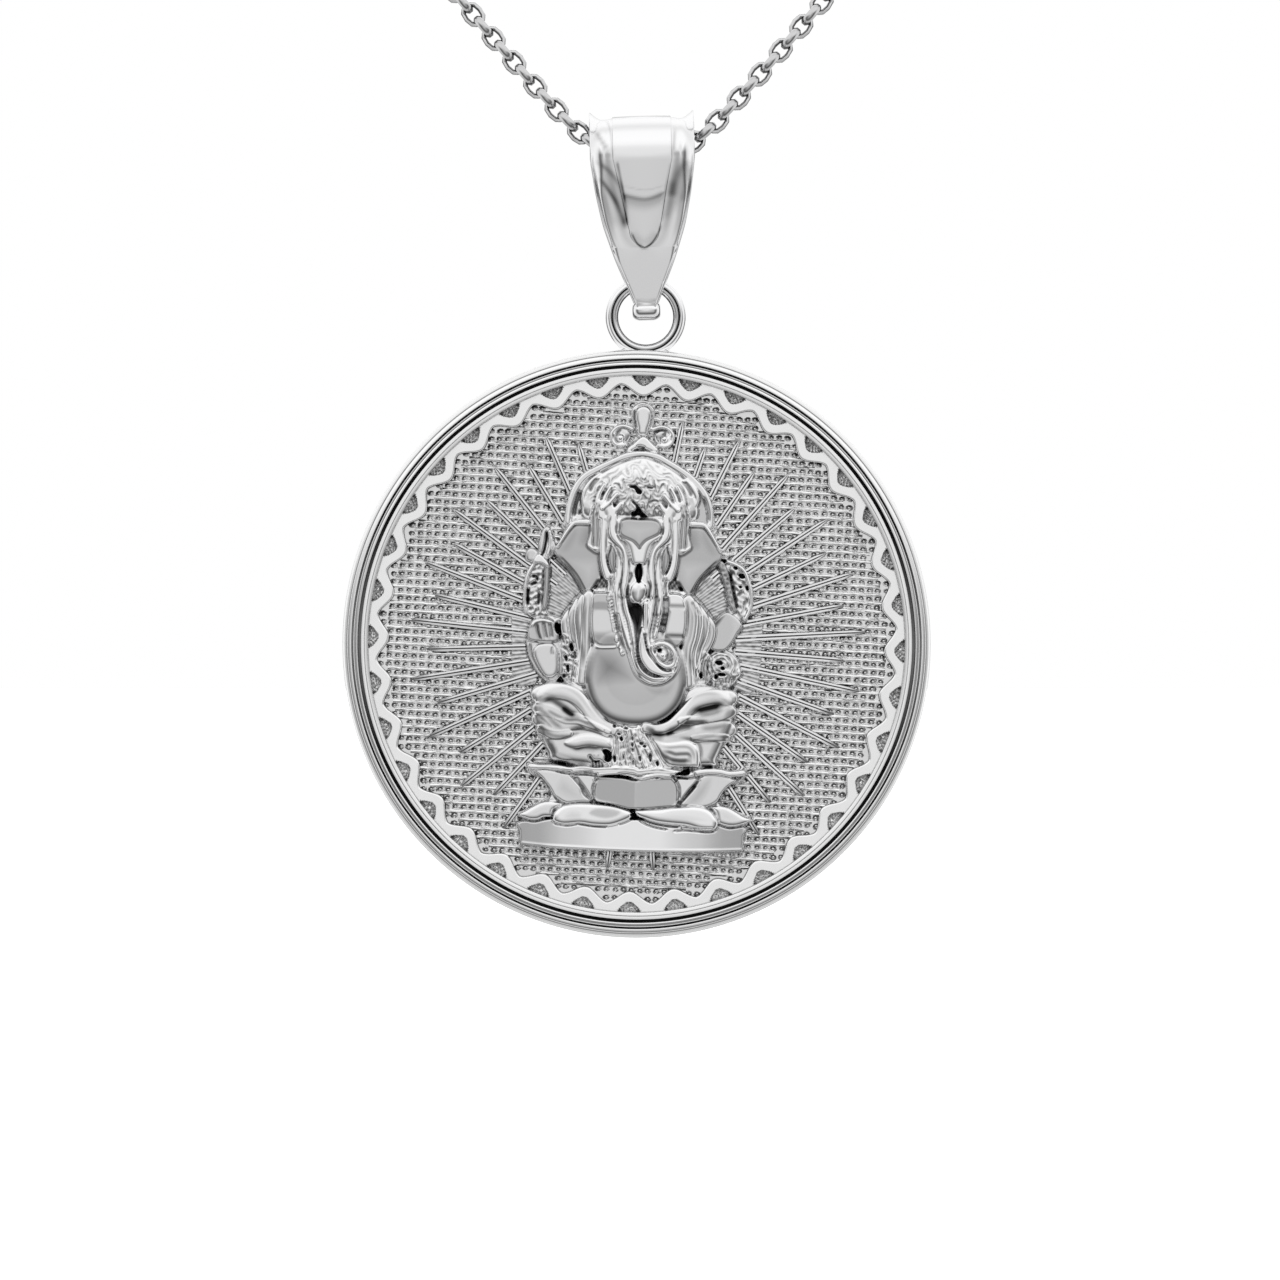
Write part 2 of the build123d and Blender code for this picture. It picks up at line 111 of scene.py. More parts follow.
class Graph:
    """A node tree that is filled one node at a time."""

    def __init__(self, tree):
        self.tree = tree
        tree.nodes.clear()

    def node(self, kind, settings=None, sockets=None, out=0):
        """Adds a node with its settings and inputs, and gives the output with that number."""
        made = self.tree.nodes.new(kind)
        for key, value in (settings or {}).items():
            if key == "stops":
                ramp = made.color_ramp
                while len(ramp.elements) < len(value):
                    ramp.elements.new(0.5)
                for element, (place, grey) in zip(ramp.elements, value):
                    element.position = place
                    element.color = (grey, grey, grey, 1.0)
            else:
                setattr(made, key, value)
        for key, value in (sockets or {}).items():
            if isinstance(value, Value):
                self.tree.links.new(value.socket, made.inputs[key])
            else:
                made.inputs[key].default_value = value
        return Value(self, made.outputs[out]) if made.outputs else made


UNEVEN = 0.35           # share of a finish's roughness that varies over the surface
HOLLOW_ROUGH = 0.22     # how much rougher the metal is where the painted shade is darkest
PAINTED_SHADE_TINT = 0.015     # share of its tint that metal keeps where the painted shade is darkest


def polished_gold(name, tint, roughness, grain, depth, shade_strength):
    """White gold: fine polishing marks, a little unevenness, and painted shade: the metal's colour darkened
    by the hollow attribute, in hollows, grooves and on shaded sides.
    """
    material = bpy.data.materials.new(name)
    material.use_nodes = True
    g = Graph(material.node_tree)
    place = g.node("ShaderNodeTexCoord", out=3)
    fine = g.node("ShaderNodeTexNoise", {},
                  {"Vector": place, "Scale": grain, "Detail": 3.0, "Roughness": 0.6})
    broad = g.node("ShaderNodeTexNoise", {}, {"Vector": place, "Scale": grain / 9.0, "Detail": 2.0})
    # The hollow attribute is painted shade, which darkens the metal's colour where shade falls.
    hollow = g.node("ShaderNodeAttribute", {"attribute_name": "hollow"}, out=2)
    shade = (1.0 - hollow * shade_strength).clamp()
    bright = g.node("ShaderNodeMix", {"data_type": "RGBA", "blend_type": "MIX"},
                    {0: shade, 6: tuple(c * PAINTED_SHADE_TINT for c in tint) + (1.0,), 7: tint + (1.0,)}, out=2)
    rough = (fine * (roughness * UNEVEN) + broad * (roughness * UNEVEN)
             + hollow * HOLLOW_ROUGH + roughness * 0.65)
    bump = g.node("ShaderNodeBump", {}, {"Strength": 0.35, "Distance": depth, "Height": fine})
    skin = g.node("ShaderNodeBsdfPrincipled", {},
                  {"Base Color": bright, "Metallic": 1.0, "Roughness": rough, "Normal": bump})
    g.node("ShaderNodeOutputMaterial", {}, {"Surface": skin})
    return material


# Name, tint, roughness, scale of the marks, their depth in metres, and how strongly the painted shade darkens
# the metal
FINISHES = {
    "polished": ("gold_polished", "white_gold", 0.12, 5200.0, 0.0000008, 1.0),
    "relief": ("gold_relief", "white_gold", 0.13, 5200.0, 0.0000012, 1.0),
    "grain": ("gold_grain", "frosted_gold", 0.22, 9000.0, 0.0000060, 0.96),
    "satin": ("gold_satin", "frosted_gold", 0.20, 9000.0, 0.0000020, 0.90),
    "flange": ("gold_flange", "frosted_gold", 0.18, 7000.0, 0.0000020, 1.0),
    "chain": ("gold_chain", "white_gold", 0.12, 6000.0, 0.0000010, 1.0),
}


def finish(key):
    """The named finish, made once."""
    name, tint, roughness, grain, depth, shade_strength = FINISHES[key]
    colour_of = bpy.context.scene.necklace_colours
    return (bpy.data.materials.get(name)
            or polished_gold(name, tuple(getattr(colour_of, tint)), roughness, grain, depth, shade_strength))


def mm(size):
    """One of the panel's lengths, in millimetres."""
    return getattr(bpy.context.scene.necklace_sizes, size) / MM


# ---- pieces ----

def as_object(name, bm):
    """Turns a drawing into an object of the scene."""
    mesh = bpy.data.meshes.new(name)
    bm.to_mesh(mesh)
    bm.free()
    made = bpy.data.objects.new(name, mesh)
    bpy.context.scene.collection.objects.link(made)
    return made


def put(name, bm, place, body, material, node, sharp):
    """Turns a drawing into a piece that rides on a body, with smooth faces between its sharp edges."""
    bmesh.ops.transform(bm, matrix=place, verts=bm.verts)
    piece = as_object(name, bm)
    piece.data.shade_smooth()
    piece.data.set_sharp_from_angle(angle=math.radians(sharp))
    piece.data.materials.append(finish(material))
    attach(piece, body)
    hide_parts(node)


def stamp(bm, pattern, places):
    """Copies a small pattern into a drawing once for each place."""
    small = bpy.data.meshes.new("pattern")
    pattern.to_mesh(small)
    pattern.free()
    for place in places:
        small.transform(place)
        bm.from_mesh(small)
        small.transform(place.inverted())
    bpy.data.meshes.remove(small)


def spin_round(bm, section, steps, merge):
    """Spins a section a full turn round Z and joins what meets."""
    bmesh.ops.spin(bm, geom=section, cent=(0, 0, 0), axis=(0, 0, 1), dvec=(0, 0, 0), angle=math.tau,
                   steps=steps, use_merge=True)
    bmesh.ops.remove_doubles(bm, verts=bm.verts, dist=merge)
    bmesh.ops.recalc_face_normals(bm, faces=bm.faces)


def turned_profile(bm, profile, steps, shade=None, closed=False):
    """Spins a profile of (radius, height, painted shade) points; shade is the painted shade's share by
    direction.
    """
    layer = bm.verts.layers.float.new("hollow")
    verts = []
    for radius, height, *dark in profile:
        vert = bm.verts.new((radius, 0.0, height))
        vert[layer] = dark[0] if dark else 0.0
        verts.append(vert)
    ends = verts[1:] + verts[:1] if closed else verts[1:]
    edges = [bm.edges.new(pair) for pair in zip(verts, ends)]
    spin_round(bm, verts + edges, steps, 1e-4)
    if shade:
        for vert in bm.verts:
            vert[layer] *= shade(math.atan2(vert.co.y, vert.co.x))


def ring_of_wire(bm, ring_r, wire_r, steps, sides):
    """Draws a closed wire ring round Z in an empty drawing."""
    place = Matrix.Translation((ring_r, 0, 0)) @ Matrix.Rotation(math.pi / 2, 4, "X")
    bmesh.ops.create_circle(bm, segments=sides, radius=wire_r, matrix=place)
    spin_round(bm, list(bm.verts) + list(bm.edges), steps, 1e-5)


def drop_rims(bm, level):
    """Runs a sheet's open rims down to a level, and gives the new rims."""
    out = bmesh.ops.extrude_edge_only(bm, edges=[e for e in bm.edges if e.is_boundary])
    for v in (g for g in out["geom"] if isinstance(g, bmesh.types.BMVert)):
        v.co.z = level
    return [e for e in bm.edges if e.is_boundary]


def close_under(bm, level):
    """Closes a sheet with sides down to a level and a flat back."""
    bmesh.ops.holes_fill(bm, edges=drop_rims(bm, level))
    bmesh.ops.recalc_face_normals(bm, faces=bm.faces)


# ---- relief ----

UNIT = 0.243            # the relief's tables are in hundredths of the figure's height
SUNK = -0.30            # where the relief's skirt ends, under the field
WALL = 9.0              # fall of a form's side for each millimetre outwards
OVER_FIELD = 0.05       # what stands higher than this over the field belongs to the figure
DARKEST = 1.15          # the painted shade is kept a little past black, so that bright lines don't wash it out


def pairs(points):
    """Outline or line tables are written as x, z, x, z, ... ."""
    return np.array(points, float).reshape(-1, 2)


def mirrored(points):
    """The outline or line on the other side of the figure."""
    return pairs(points) * (-1, 1)


def sided(side, points):
    """A table written for the right side, laid on the left (-1) or on the right (1)."""
    return [value if k % 2 else side * value for k, value in enumerate(points)]


def speck(x, z, w, h, skew):
    """Outline of a small uneven pit round a point; skew gives the places of its four corners."""
    a, b, c, d = skew
    return [x - w, z + h * a, x + w * b, z + h, x + w, z - h * c, x - w * d, z - h]


def smooth_path(points, closed=False, spans=6):
    """Rounded line through the points."""
    pts = pairs(points) * UNIT
    n = len(pts)
    out = []
    for i in range(n if closed else n - 1):
        if closed:
            a, b, c, d = pts[i - 1], pts[i], pts[(i + 1) % n], pts[(i + 2) % n]
        else:
            a, b, c, d = pts[max(i - 1, 0)], pts[i], pts[i + 1], pts[min(i + 2, n - 1)]
        for k in range(spans):
            t = k / spans
            out.append(0.5 * (2 * b + (c - a) * t + (2 * a - 5 * b + 4 * c - d) * t * t
                              + (3 * b - a - 3 * c + d) * t * t * t))
    out.append(out[0] if closed else pts[-1])
    return np.array(out)


class Relief:
    """Heights over the field, and the painted shade that darkens the metal, at the points of a grid, raised
    form by form.
    """

    def __init__(self, x, z):
        self.x = x
        self.z = z
        self.h = np.full(len(x), SUNK)
        self.dark = np.zeros(len(x))

    def near(self, path, margin):
        """Points of the grid in the box round a line, with a margin."""
        low, high = path.min(0) - margin, path.max(0) + margin
        return np.nonzero((self.x > low[0]) & (self.x < high[0]) & (self.z > low[1]) & (self.z < high[1]))[0]

    def distance(self, idx, path):
        """Distance to a line, and how far along it the nearest point is, from 0 to 1."""
        x, z = self.x[idx], self.z[idx]
        best = np.full(len(idx), 1e9)
        along = np.zeros(len(idx))
        step = np.linalg.norm(path[1:] - path[:-1], axis=1)
        start = np.concatenate([[0.0], np.cumsum(step)])
        for i, (a, b) in enumerate(zip(path, path[1:])):
            dx, dz = b - a
            size = max(dx * dx + dz * dz, 1e-12)
            t = np.clip(((x - a[0]) * dx + (z - a[1]) * dz) / size, 0, 1)
            d = (x - a[0] - t * dx) ** 2 + (z - a[1] - t * dz) ** 2
            nearer = d < best
            best[nearer] = d[nearer]
            along[nearer] = (start[i] + t[nearer] * step[i]) / start[-1]
        return np.sqrt(best), along

    def inside(self, idx, path):
        """Which of the points lie inside a closed line."""
        x, z = self.x[idx], self.z[idx]
        hit = np.zeros(len(idx), bool)
        for a, b in zip(path, path[1:]):
            cross = (a[1] > z) != (b[1] > z)
            with np.errstate(divide="ignore", invalid="ignore"):
                at = (b[0] - a[0]) * (z - a[1]) / (b[1] - a[1]) + a[0]
            hit ^= cross & (x < at)
        return hit

    def area(self, points):
        """Points inside an outline, and their distance from it."""
        path = smooth_path(points, True)
        idx = self.near(path, 0.0)
        idx = idx[self.inside(idx, path)]
        return idx, self.distance(idx, path)[0]

    def darken(self, idx, dark):
        """Adds painted shade to the points."""
        self.dark[idx] = np.clip(self.dark[idx] + dark, 0, DARKEST)

    def raise_to(self, idx, height, blend, dark):
        """Raises the points that lie lower than a height, and gives them its painted shade."""
        old = self.h[idx]
        over = np.clip((height - old) / 0.04 + 0.5, 0, 1)
        self.dark[idx] = self.dark[idx] * (1 - over) + dark * over
        if blend:
            k = np.clip(0.5 + 0.5 * (height - old) / blend, 0, 1)
            self.h[idx] = np.maximum(np.maximum(old, height),
                                     old * (1 - k) + height * k + blend * k * (1 - k))
        else:
            self.h[idx] = np.maximum(old, height)

    def slab(self, points, top, edge=0.12, fall=0.10, lean=(0, 0), dark=0.0, both=False, blend=0.0):
        """A form with a flat or leaning top and rounded edges, from its outline, with its painted shade."""
        if both:
            self.slab(mirrored(points), top, edge, fall, (-lean[0], lean[1]), dark, False, blend)
        path = smooth_path(points, True)
        idx = self.near(path, 0.30)
        d, _ = self.distance(idx, path)
        q = 1 - np.clip(d / edge, 0, 1)
        centre = path[:-1].mean(0)
        level = top + lean[0] * (self.x[idx] - centre[0]) + lean[1] * (self.z[idx] - centre[1])
        up = level - fall * (1 - np.sqrt(np.clip(1 - q * q, 0, 1)))
        self.raise_to(idx, np.where(self.inside(idx, path), up, level - fall - WALL * d), blend, dark)

    def dome(self, x, z, half_w, half_h, top, base, turn=0.0, power=0.5, dark=0.0):
        """A rounded mass, with its painted shade."""
        reach = max(half_w, half_h) * UNIT
        centre = np.array([[x * UNIT, z * UNIT]])
        idx = self.near(centre, reach * 1.3 + 0.1)
        c, s = math.cos(math.radians(turn)), math.sin(math.radians(turn))
        dx, dz = self.x[idx] - centre[0][0], self.z[idx] - centre[0][1]
        u = (dx * c + dz * s) / (half_w * UNIT)
        v = (-dx * s + dz * c) / (half_h * UNIT)
        q = u * u + v * v
        rise = base + (top - base) * np.clip(1 - q, 0, 1) ** power
        out = base - WALL * (np.sqrt(q) - 1) * min(half_w, half_h) * UNIT
        self.raise_to(idx, np.where(q < 1, rise, out), 0.0, dark)

    def cord(self, points, width, crest, both=False, flat=0.6, blend=0.0, dark=0.0):
        """A round strand with its painted shade. width and crest are numbers or (start, end) pairs; flat
        under 1 lowers its back.
        """
        if both:
            self.cord(mirrored(points), width, crest, False, flat, blend, dark)
        path = smooth_path(points)
        w0, w1 = width if isinstance(width, tuple) else (width, width)
        c0, c1 = crest if isinstance(crest, tuple) else (crest, crest)
        idx = self.near(path, max(w0, w1) * UNIT + 0.25)
        d, s = self.distance(idx, path)
        r = (w0 + (w1 - w0) * s) * UNIT
        top = c0 + (c1 - c0) * s
        q = np.clip(d / r, 0, 1)
        up = top - flat * r * (1 - np.sqrt(1 - q * q))
        self.raise_to(idx, np.where(d < r, up, top - flat * r - WALL * (d - r)), blend, dark)

    def line(self, points, width, rise, dark=None, both=False, ends=0.12):
        """Adds a low ridge with a little painted highlight, or with a negative rise a groove darkened by
        painted shade, that fades at its ends.
        """
        if both:
            self.line(mirrored(points), width, rise, dark, False, ends)
        if dark is None:
            dark = min(1.0, -rise * 4.5) if rise < 0 else -0.2
        path = smooth_path(points)
        idx = self.near(path, width * UNIT * 2.6)
        idx = idx[self.h[idx] > OVER_FIELD]
        d, s = self.distance(idx, path)
        fade = np.clip(np.minimum(s, 1 - s) / ends, 0, 1) if ends else 1.0
        bell = fade * np.exp(-(d / (width * UNIT)) ** 2)
        self.h[idx] += rise * bell
        self.darken(idx, dark * bell)

    def hole(self, points, depth, edge, dark=1.1):
        """Sinks a hollow inside an outline, painted black as shade."""
        idx, d = self.area(points)
        deep = np.clip(d / edge, 0, 1) ** 0.6
        self.h[idx] -= depth * deep
        self.dark[idx] = np.maximum(self.dark[idx], dark * deep)

    def shade(self, points, dark, edge):
        """Paints shade, or with a negative figure a painted highlight, on the metal inside an outline, softly
        from its edge.
        """
        idx, d = self.area(points)
        idx, d = idx[self.h[idx] > OVER_FIELD], d[self.h[idx] > OVER_FIELD]
        self.darken(idx, dark * np.clip(d / edge, 0, 1))

    def flutes(self, points, pitch, depth, turn=None, dark=0.8):
        """Fine grooves inside an outline, with painted shade in them: parallel ones at a turn, or else rays
        from the disc's centre.
        """
        idx, d = self.area(points)
        x, z = self.x[idx], self.z[idx]
        if turn is None:
            across = np.degrees(np.arctan2(z, x)) / pitch
        else:
            a = math.radians(turn)
            across = (-x * math.sin(a) + z * math.cos(a)) / (pitch * UNIT)
        wave = (1 - np.abs(np.sin(across * math.pi))) ** 1.5 * np.clip(d / 0.08, 0, 1)
        self.h[idx] -= depth * wave
        self.darken(idx, dark * wave)

    def strands(self, points, guide, pitch, depth, dark, wander, seed):
        """Curly grooves inside an outline, with painted shade in them, side by side along a guide line."""
        idx, d = self.area(points)
        x, z = self.x[idx] / UNIT, self.z[idx] / UNIT
        across = self.distance(idx, smooth_path(guide))[0] / (pitch * UNIT)
        rng = random.Random(seed)
        for _ in range(6):
            a, f = rng.uniform(0, math.tau), rng.uniform(1.0, 2.4)
            across = across + wander / 2.2 * np.sin(f * (x * math.cos(a) + z * math.sin(a))
                                                    + rng.uniform(0, 6))
        wave = (1 - np.abs(np.sin(across * math.pi))) ** 2 * np.clip(d / 0.10, 0, 1)
        self.h[idx] -= depth * wave
        self.darken(idx, dark * wave)

    def mottle(self, points, height, dark, size, seed, spots=0.0):
        """Uneven cast texture inside an outline, with painted shade in its low spots."""
        idx, d = self.area(points)
        x, z = self.x[idx] / (UNIT * size), self.z[idx] / (UNIT * size)
        rng = random.Random(seed)
        n = np.zeros(len(idx))
        for _ in range(7):
            a, f = rng.uniform(0, math.tau), rng.uniform(1.6, 4.4)
            n += np.sin(f * (x * math.cos(a) + z * math.sin(a)) + rng.uniform(0, 6)
                        + 1.4 * np.sin(1.3 * (z * math.cos(a) - x * math.sin(a)) + rng.uniform(0, 6)))
        n = n / 3.0 * np.clip(d / 0.10, 0, 1)
        self.h[idx] += height * n
        self.darken(idx, dark * np.clip(-n, 0, 1) + spots * (n < -1.0))


def sculpt_hatch(r):
    """Fine rays on the field close to the figure."""
    for patch in ([-20.0, 18, -17.6, 18.4, -14.4, 15.8, -12.2, 12.4, -11.4, 9.8, -13, 7.6, -15.6, 5.6,
                   -17.6, 4.6, -20.2, 5, -21, 10, -20.4, 14],
                  [17.4, 18.2, 15, 16, 13, 13.4, 12, 10.2, 14.2, 7.2, 16, 5.2, 17.4, 5.4, 20, 7.4, 20.6, 11,
                   19.4, 14.6], [-24.2, 5.6, -27.9, 7.4, -28.1, 0, -27.2, -9.4, -22, -9.2, -24, -4, -24.8, 0],
                  [23.6, 4.4, 27.8, 7, 28.1, 0, 27.2, -9.6, 22, -9.2, 24, -5, 22, 0]):
        r.slab(patch, 0.16, 0.05, 0.04, dark=0.1)
        r.flutes(patch, 1.88, 0.05, dark=0.70)
        r.mottle(patch, 0.010, 0.25, 0.7, 3)


def sculpt_hood(r):
    """The pointed hood behind the head, with its band and rim."""
    outer = [-15.0, 25.5, -16.2, 28, -16.5, 30, -15.2, 34.5, -13, 37.6, -9.6, 39.7, -6.4, 41.2, -3.6, 42.5,
             0.1, 42.9, 3.7, 42.5, 6.2, 41.2, 9, 39.6, 11.6, 37.9, 14.6, 34.6, 16, 31, 16, 28.4, 14.8, 25.5]
    r.slab(outer, 0.74, 0.10, 0.10)
    band = [-16.2, 27, -15.8, 30.4, -14.6, 34.4, -12.5, 37.2, -9.3, 39.1, -6.2, 40.6, -3.4, 41.9, 0.1, 42.4,
            3.5, 41.9, 6, 40.6, 8.8, 39, 11.2, 37.3, 14, 34.3, 15.5, 30.8, 15.9, 27]
    r.cord(band, 0.78, 0.92, flat=0.35)
    r.line(band, 0.14, -0.02, 0.22)
    r.line([-14.3, 33.6, -12.4, 36.3, -9.4, 38.2, -6.4, 39.9, -3.6, 41.1, 0.1, 41.9, 3.3, 41.2, 6.1, 39.8,
            8.8, 38.2, 11.1, 36.3, 13.1, 33.9, 14.3, 30.5], 0.18, -0.06, 0.42)
    r.cord([-12.4, 29.4, -12.8, 31.8, -12.5, 34, -11.1, 36.1, -9.2, 37.6], 0.55, 1.0, flat=0.5)
    r.cord([12.1, 30.6, 12.7, 32.9, 11.8, 35, 10, 36.8], 0.55, 1.0, flat=0.5)
    r.line([-14.9, 27.9, -14.7, 30.2, -14.2, 32.2, -13.5, 34], 0.42, -0.16, 0.75)
    r.line([-13.7, 28.4, -13.4, 29.8], 0.22, -0.12, 0.9)
    r.line([15.3, 27.4, 15.2, 29.6, 14.7, 31.6, 13.9, 33.5], 0.28, -0.10, 0.5)
    r.shade([12.6, 27.6, 12.8, 32, 14.2, 32.6, 15, 29.6, 15, 27.4], 0.30, 0.12)
    r.shade([-13.2, 27.6, -13.6, 31.6, -12.9, 31.6, -12.2, 27.6], 0.35, 0.10)


def sculpt_hair(r):
    """The piled hair with its strands, locks, streaks and dark gaps."""
    dome = [-12.2, 28, -12.4, 33, -10.6, 36.6, -7, 39.2, -3.4, 40.9, 0.1, 41.8, 3.2, 41, 6.6, 39.4, 10, 36.8,
            12.2, 33, 12, 28, 0, 27]
    r.slab(dome, 1.16, 0.8, 0.30, dark=0.02)
    r.slab([-7.6, 29, -7.4, 34, -4.6, 38, 0.2, 39.6, 4.8, 38, 7.4, 34, 7.2, 29, 2, 28, -2, 28], 1.36, 0.9,
           0.24, blend=0.1)
    arch = [-12.4, 28, -12.2, 33, -10.2, 36.6, -6.6, 39.2, 0.1, 42, 6.4, 39.4, 10, 36.6, 12.1, 33, 12.2, 28]
    r.strands([-10.8, 30, -11.2, 33.4, -9.6, 36.3, -6.6, 38.6, -3, 40.3, 0.1, 41.3, 3, 40.4, 6.4, 38.8,
               9.4, 36.2, 11, 33.2, 10.6, 30, 6.6, 28.6, 0, 28.2, -6.6, 28.6], arch, 1.25, 0.05, 0.55, 0.75,
              11)
    r.mottle([-6.4, 28.6, -7.6, 33, -5, 36.4, 0, 37.8, 5, 36.4, 7.8, 33, 6.4, 28.6, 0, 28], 0.016, 0.22, 0.7,
             11)
    for side in (-1, 1):
        locks = []
        for k in range(3):
            x0 = side * (9.4 - k * 1.5)
            locks.append([x0 - side * 1.2, 35.4 - 0.4 * k, x0, 33.0 - 0.3 * k, x0 + side * 0.2, 30.6,
                          x0 - side * 0.5, 28.4])
        for lock in locks:
            r.cord(lock, (0.35, 0.75), (1.30, 1.44), flat=0.4, blend=0.04)
        for lock in locks:
            r.line(pairs(lock) + (side * 0.72, 0), 0.18, -0.05, 0.55)
        streak = sided(side, [7.6, 29.2, 6.2, 30.4, 4.6, 32.4])
        r.cord(pairs(streak) + (side * 0.7, 0.9), 0.45, 1.50, flat=0.4, blend=0.06)
        r.cord(pairs(streak) + (side * -0.2, -1.3), 0.60, 1.46, flat=0.4, blend=0.06)
        r.line(streak, 0.26, -0.08, 0.85, ends=0.25)
        r.line(pairs(streak) + (side * 0.5, 0.6), 0.14, -0.03, 0.5)
    for shift in (0, 0.7):
        r.line([-9.2 - shift, 36.8, -10.5 - shift * 0.6, 35.4, -11.3 - shift * 0.4, 33.7], 0.20, -0.08, 0.75)
        r.line([9.1 + shift, 36.6, 10.5 + shift * 0.6, 35, 11.3 + shift * 0.4, 33.2], 0.20, -0.08, 0.7)
    r.hole([-2, 31.9, -1.4, 31.9, -0.4, 30.8, 0.5, 29.6, 1.8, 28.4, 0.6, 28.3, -0.4, 28.8, -1.8, 28.5,
            -1.9, 29.4, -1, 29.8, -1, 30.8], 0.35, 0.09)
    r.hole([-2.6, 35.4, -1.2, 35.5, -0.4, 34.8, 0.3, 34.2, 0, 33.5, -0.8, 33.6, -1.4, 34.6, -2.4, 34.9], 0.25,
           0.09)
    r.hole([1.1, 35.3, 2.8, 35.2, 2.7, 34.8, 1.3, 34.9], 0.2, 0.07, dark=0.9)
    r.line([0.4, 33.6, 1.0, 32.8, 1.2, 32.2], 0.2, -0.05, 0.7)
    r.line([1.6, 30.4, 2.2, 31.8, 3.8, 31.8, 4.2, 30.2], 0.16, -0.04, 0.5)


def sculpt_ears(r):
    """The broad flat ears and the hatched corners under them."""
    left = [-8.6, 27.6, -11.8, 27.4, -14.9, 27.2, -16.6, 25, -18.2, 21.8, -19, 20.1, -17.8, 18.4, -15.4, 16.2,
            -13.4, 13.4, -11.5, 10.3, -9.6, 12.6, -7.6, 14.8]
    right = [8.6, 27.6, 11.6, 27.5, 14.6, 27.3, 16.2, 25.2, 17.8, 22.4, 18.7, 20.5, 17.8, 18.4, 15.8, 16.8,
             13.4, 14.2, 11.4, 9.8, 9.8, 12.6, 7.8, 14.9]
    for outline, side in ((left, -1), (right, 1)):
        # The ears' grey is painted shade; there is more of it at their top and outer corner, and a painted
        # highlight lower down.
        r.slab(outline, 1.00, 0.10, 0.10, lean=(side * 0.085, -0.03), dark=0.38)
        r.shade(sided(side, [8.6, 27, 13, 26, 14, 22, 11, 20.5, 8.6, 21]), 0.16, 0.5)
        r.shade(sided(side, [14.8, 26, 17.9, 20.6, 15.6, 20, 13.4, 24]), 0.14, 0.5)
        r.shade(sided(side, [9, 19, 16, 18.6, 13.5, 15, 11.6, 12, 9, 14.4]), -0.12, 0.6)
    r.cord([-11.6, 26.9, -13.6, 26.9, -14.8, 26.6, -16.2, 24.8, -17.4, 22.8, -18.3, 21.2], (0.66, 0.22),
           (1.10, 1.18), flat=0.3)
    r.cord([11.4, 27.1, 13.2, 27.1, 14.6, 26.8, 16, 24.9, 17.3, 22.8, 18.4, 21], (0.66, 0.22), (1.10, 1.18),
           flat=0.3)
    for side in (-1, 1):
        r.line(sided(side, [11.4, 26.2, 13.6, 26.2, 15.2, 25.2, 17.4, 21.9]), 0.16, -0.03, 0.35, ends=0.05)
        r.line(sided(side, [18.1, 19.4, 15.8, 17.2, 13.8, 14.9, 12.2, 12.2, 11.4, 10.6]), 0.24, -0.06, 0.45)
        r.line(sided(side, [18.4, 18.8, 16.2, 16.6, 14.2, 14.2, 12.8, 11.6]), 0.18, 0.05, -0.1)
        r.line(sided(side, [8.7, 14.3, 10.1, 12.3, 11.4, 10.8]), 0.22, -0.10, 0.75, ends=0.08)
        r.line(sided(side, [8.3, 14.9, 9.6, 13.1, 11.2, 11.4]), 0.18, 0.05, -0.15)
        hatch = sided(side, [8.1, 15, 6.8, 13.2, 7.2, 11.2, 9.9, 11.2, 8.8, 13.4])
        r.slab(hatch, 0.98, 0.06, 0.04, dark=0.52)
        r.flutes(hatch, 0.62, 0.06, -60 * side, 0.5)
        r.flutes(hatch, 1.1, 0.05, 50 * side, 0.35)
        r.line(hatch + hatch[:2], 0.16, -0.05, 0.5, ends=0)


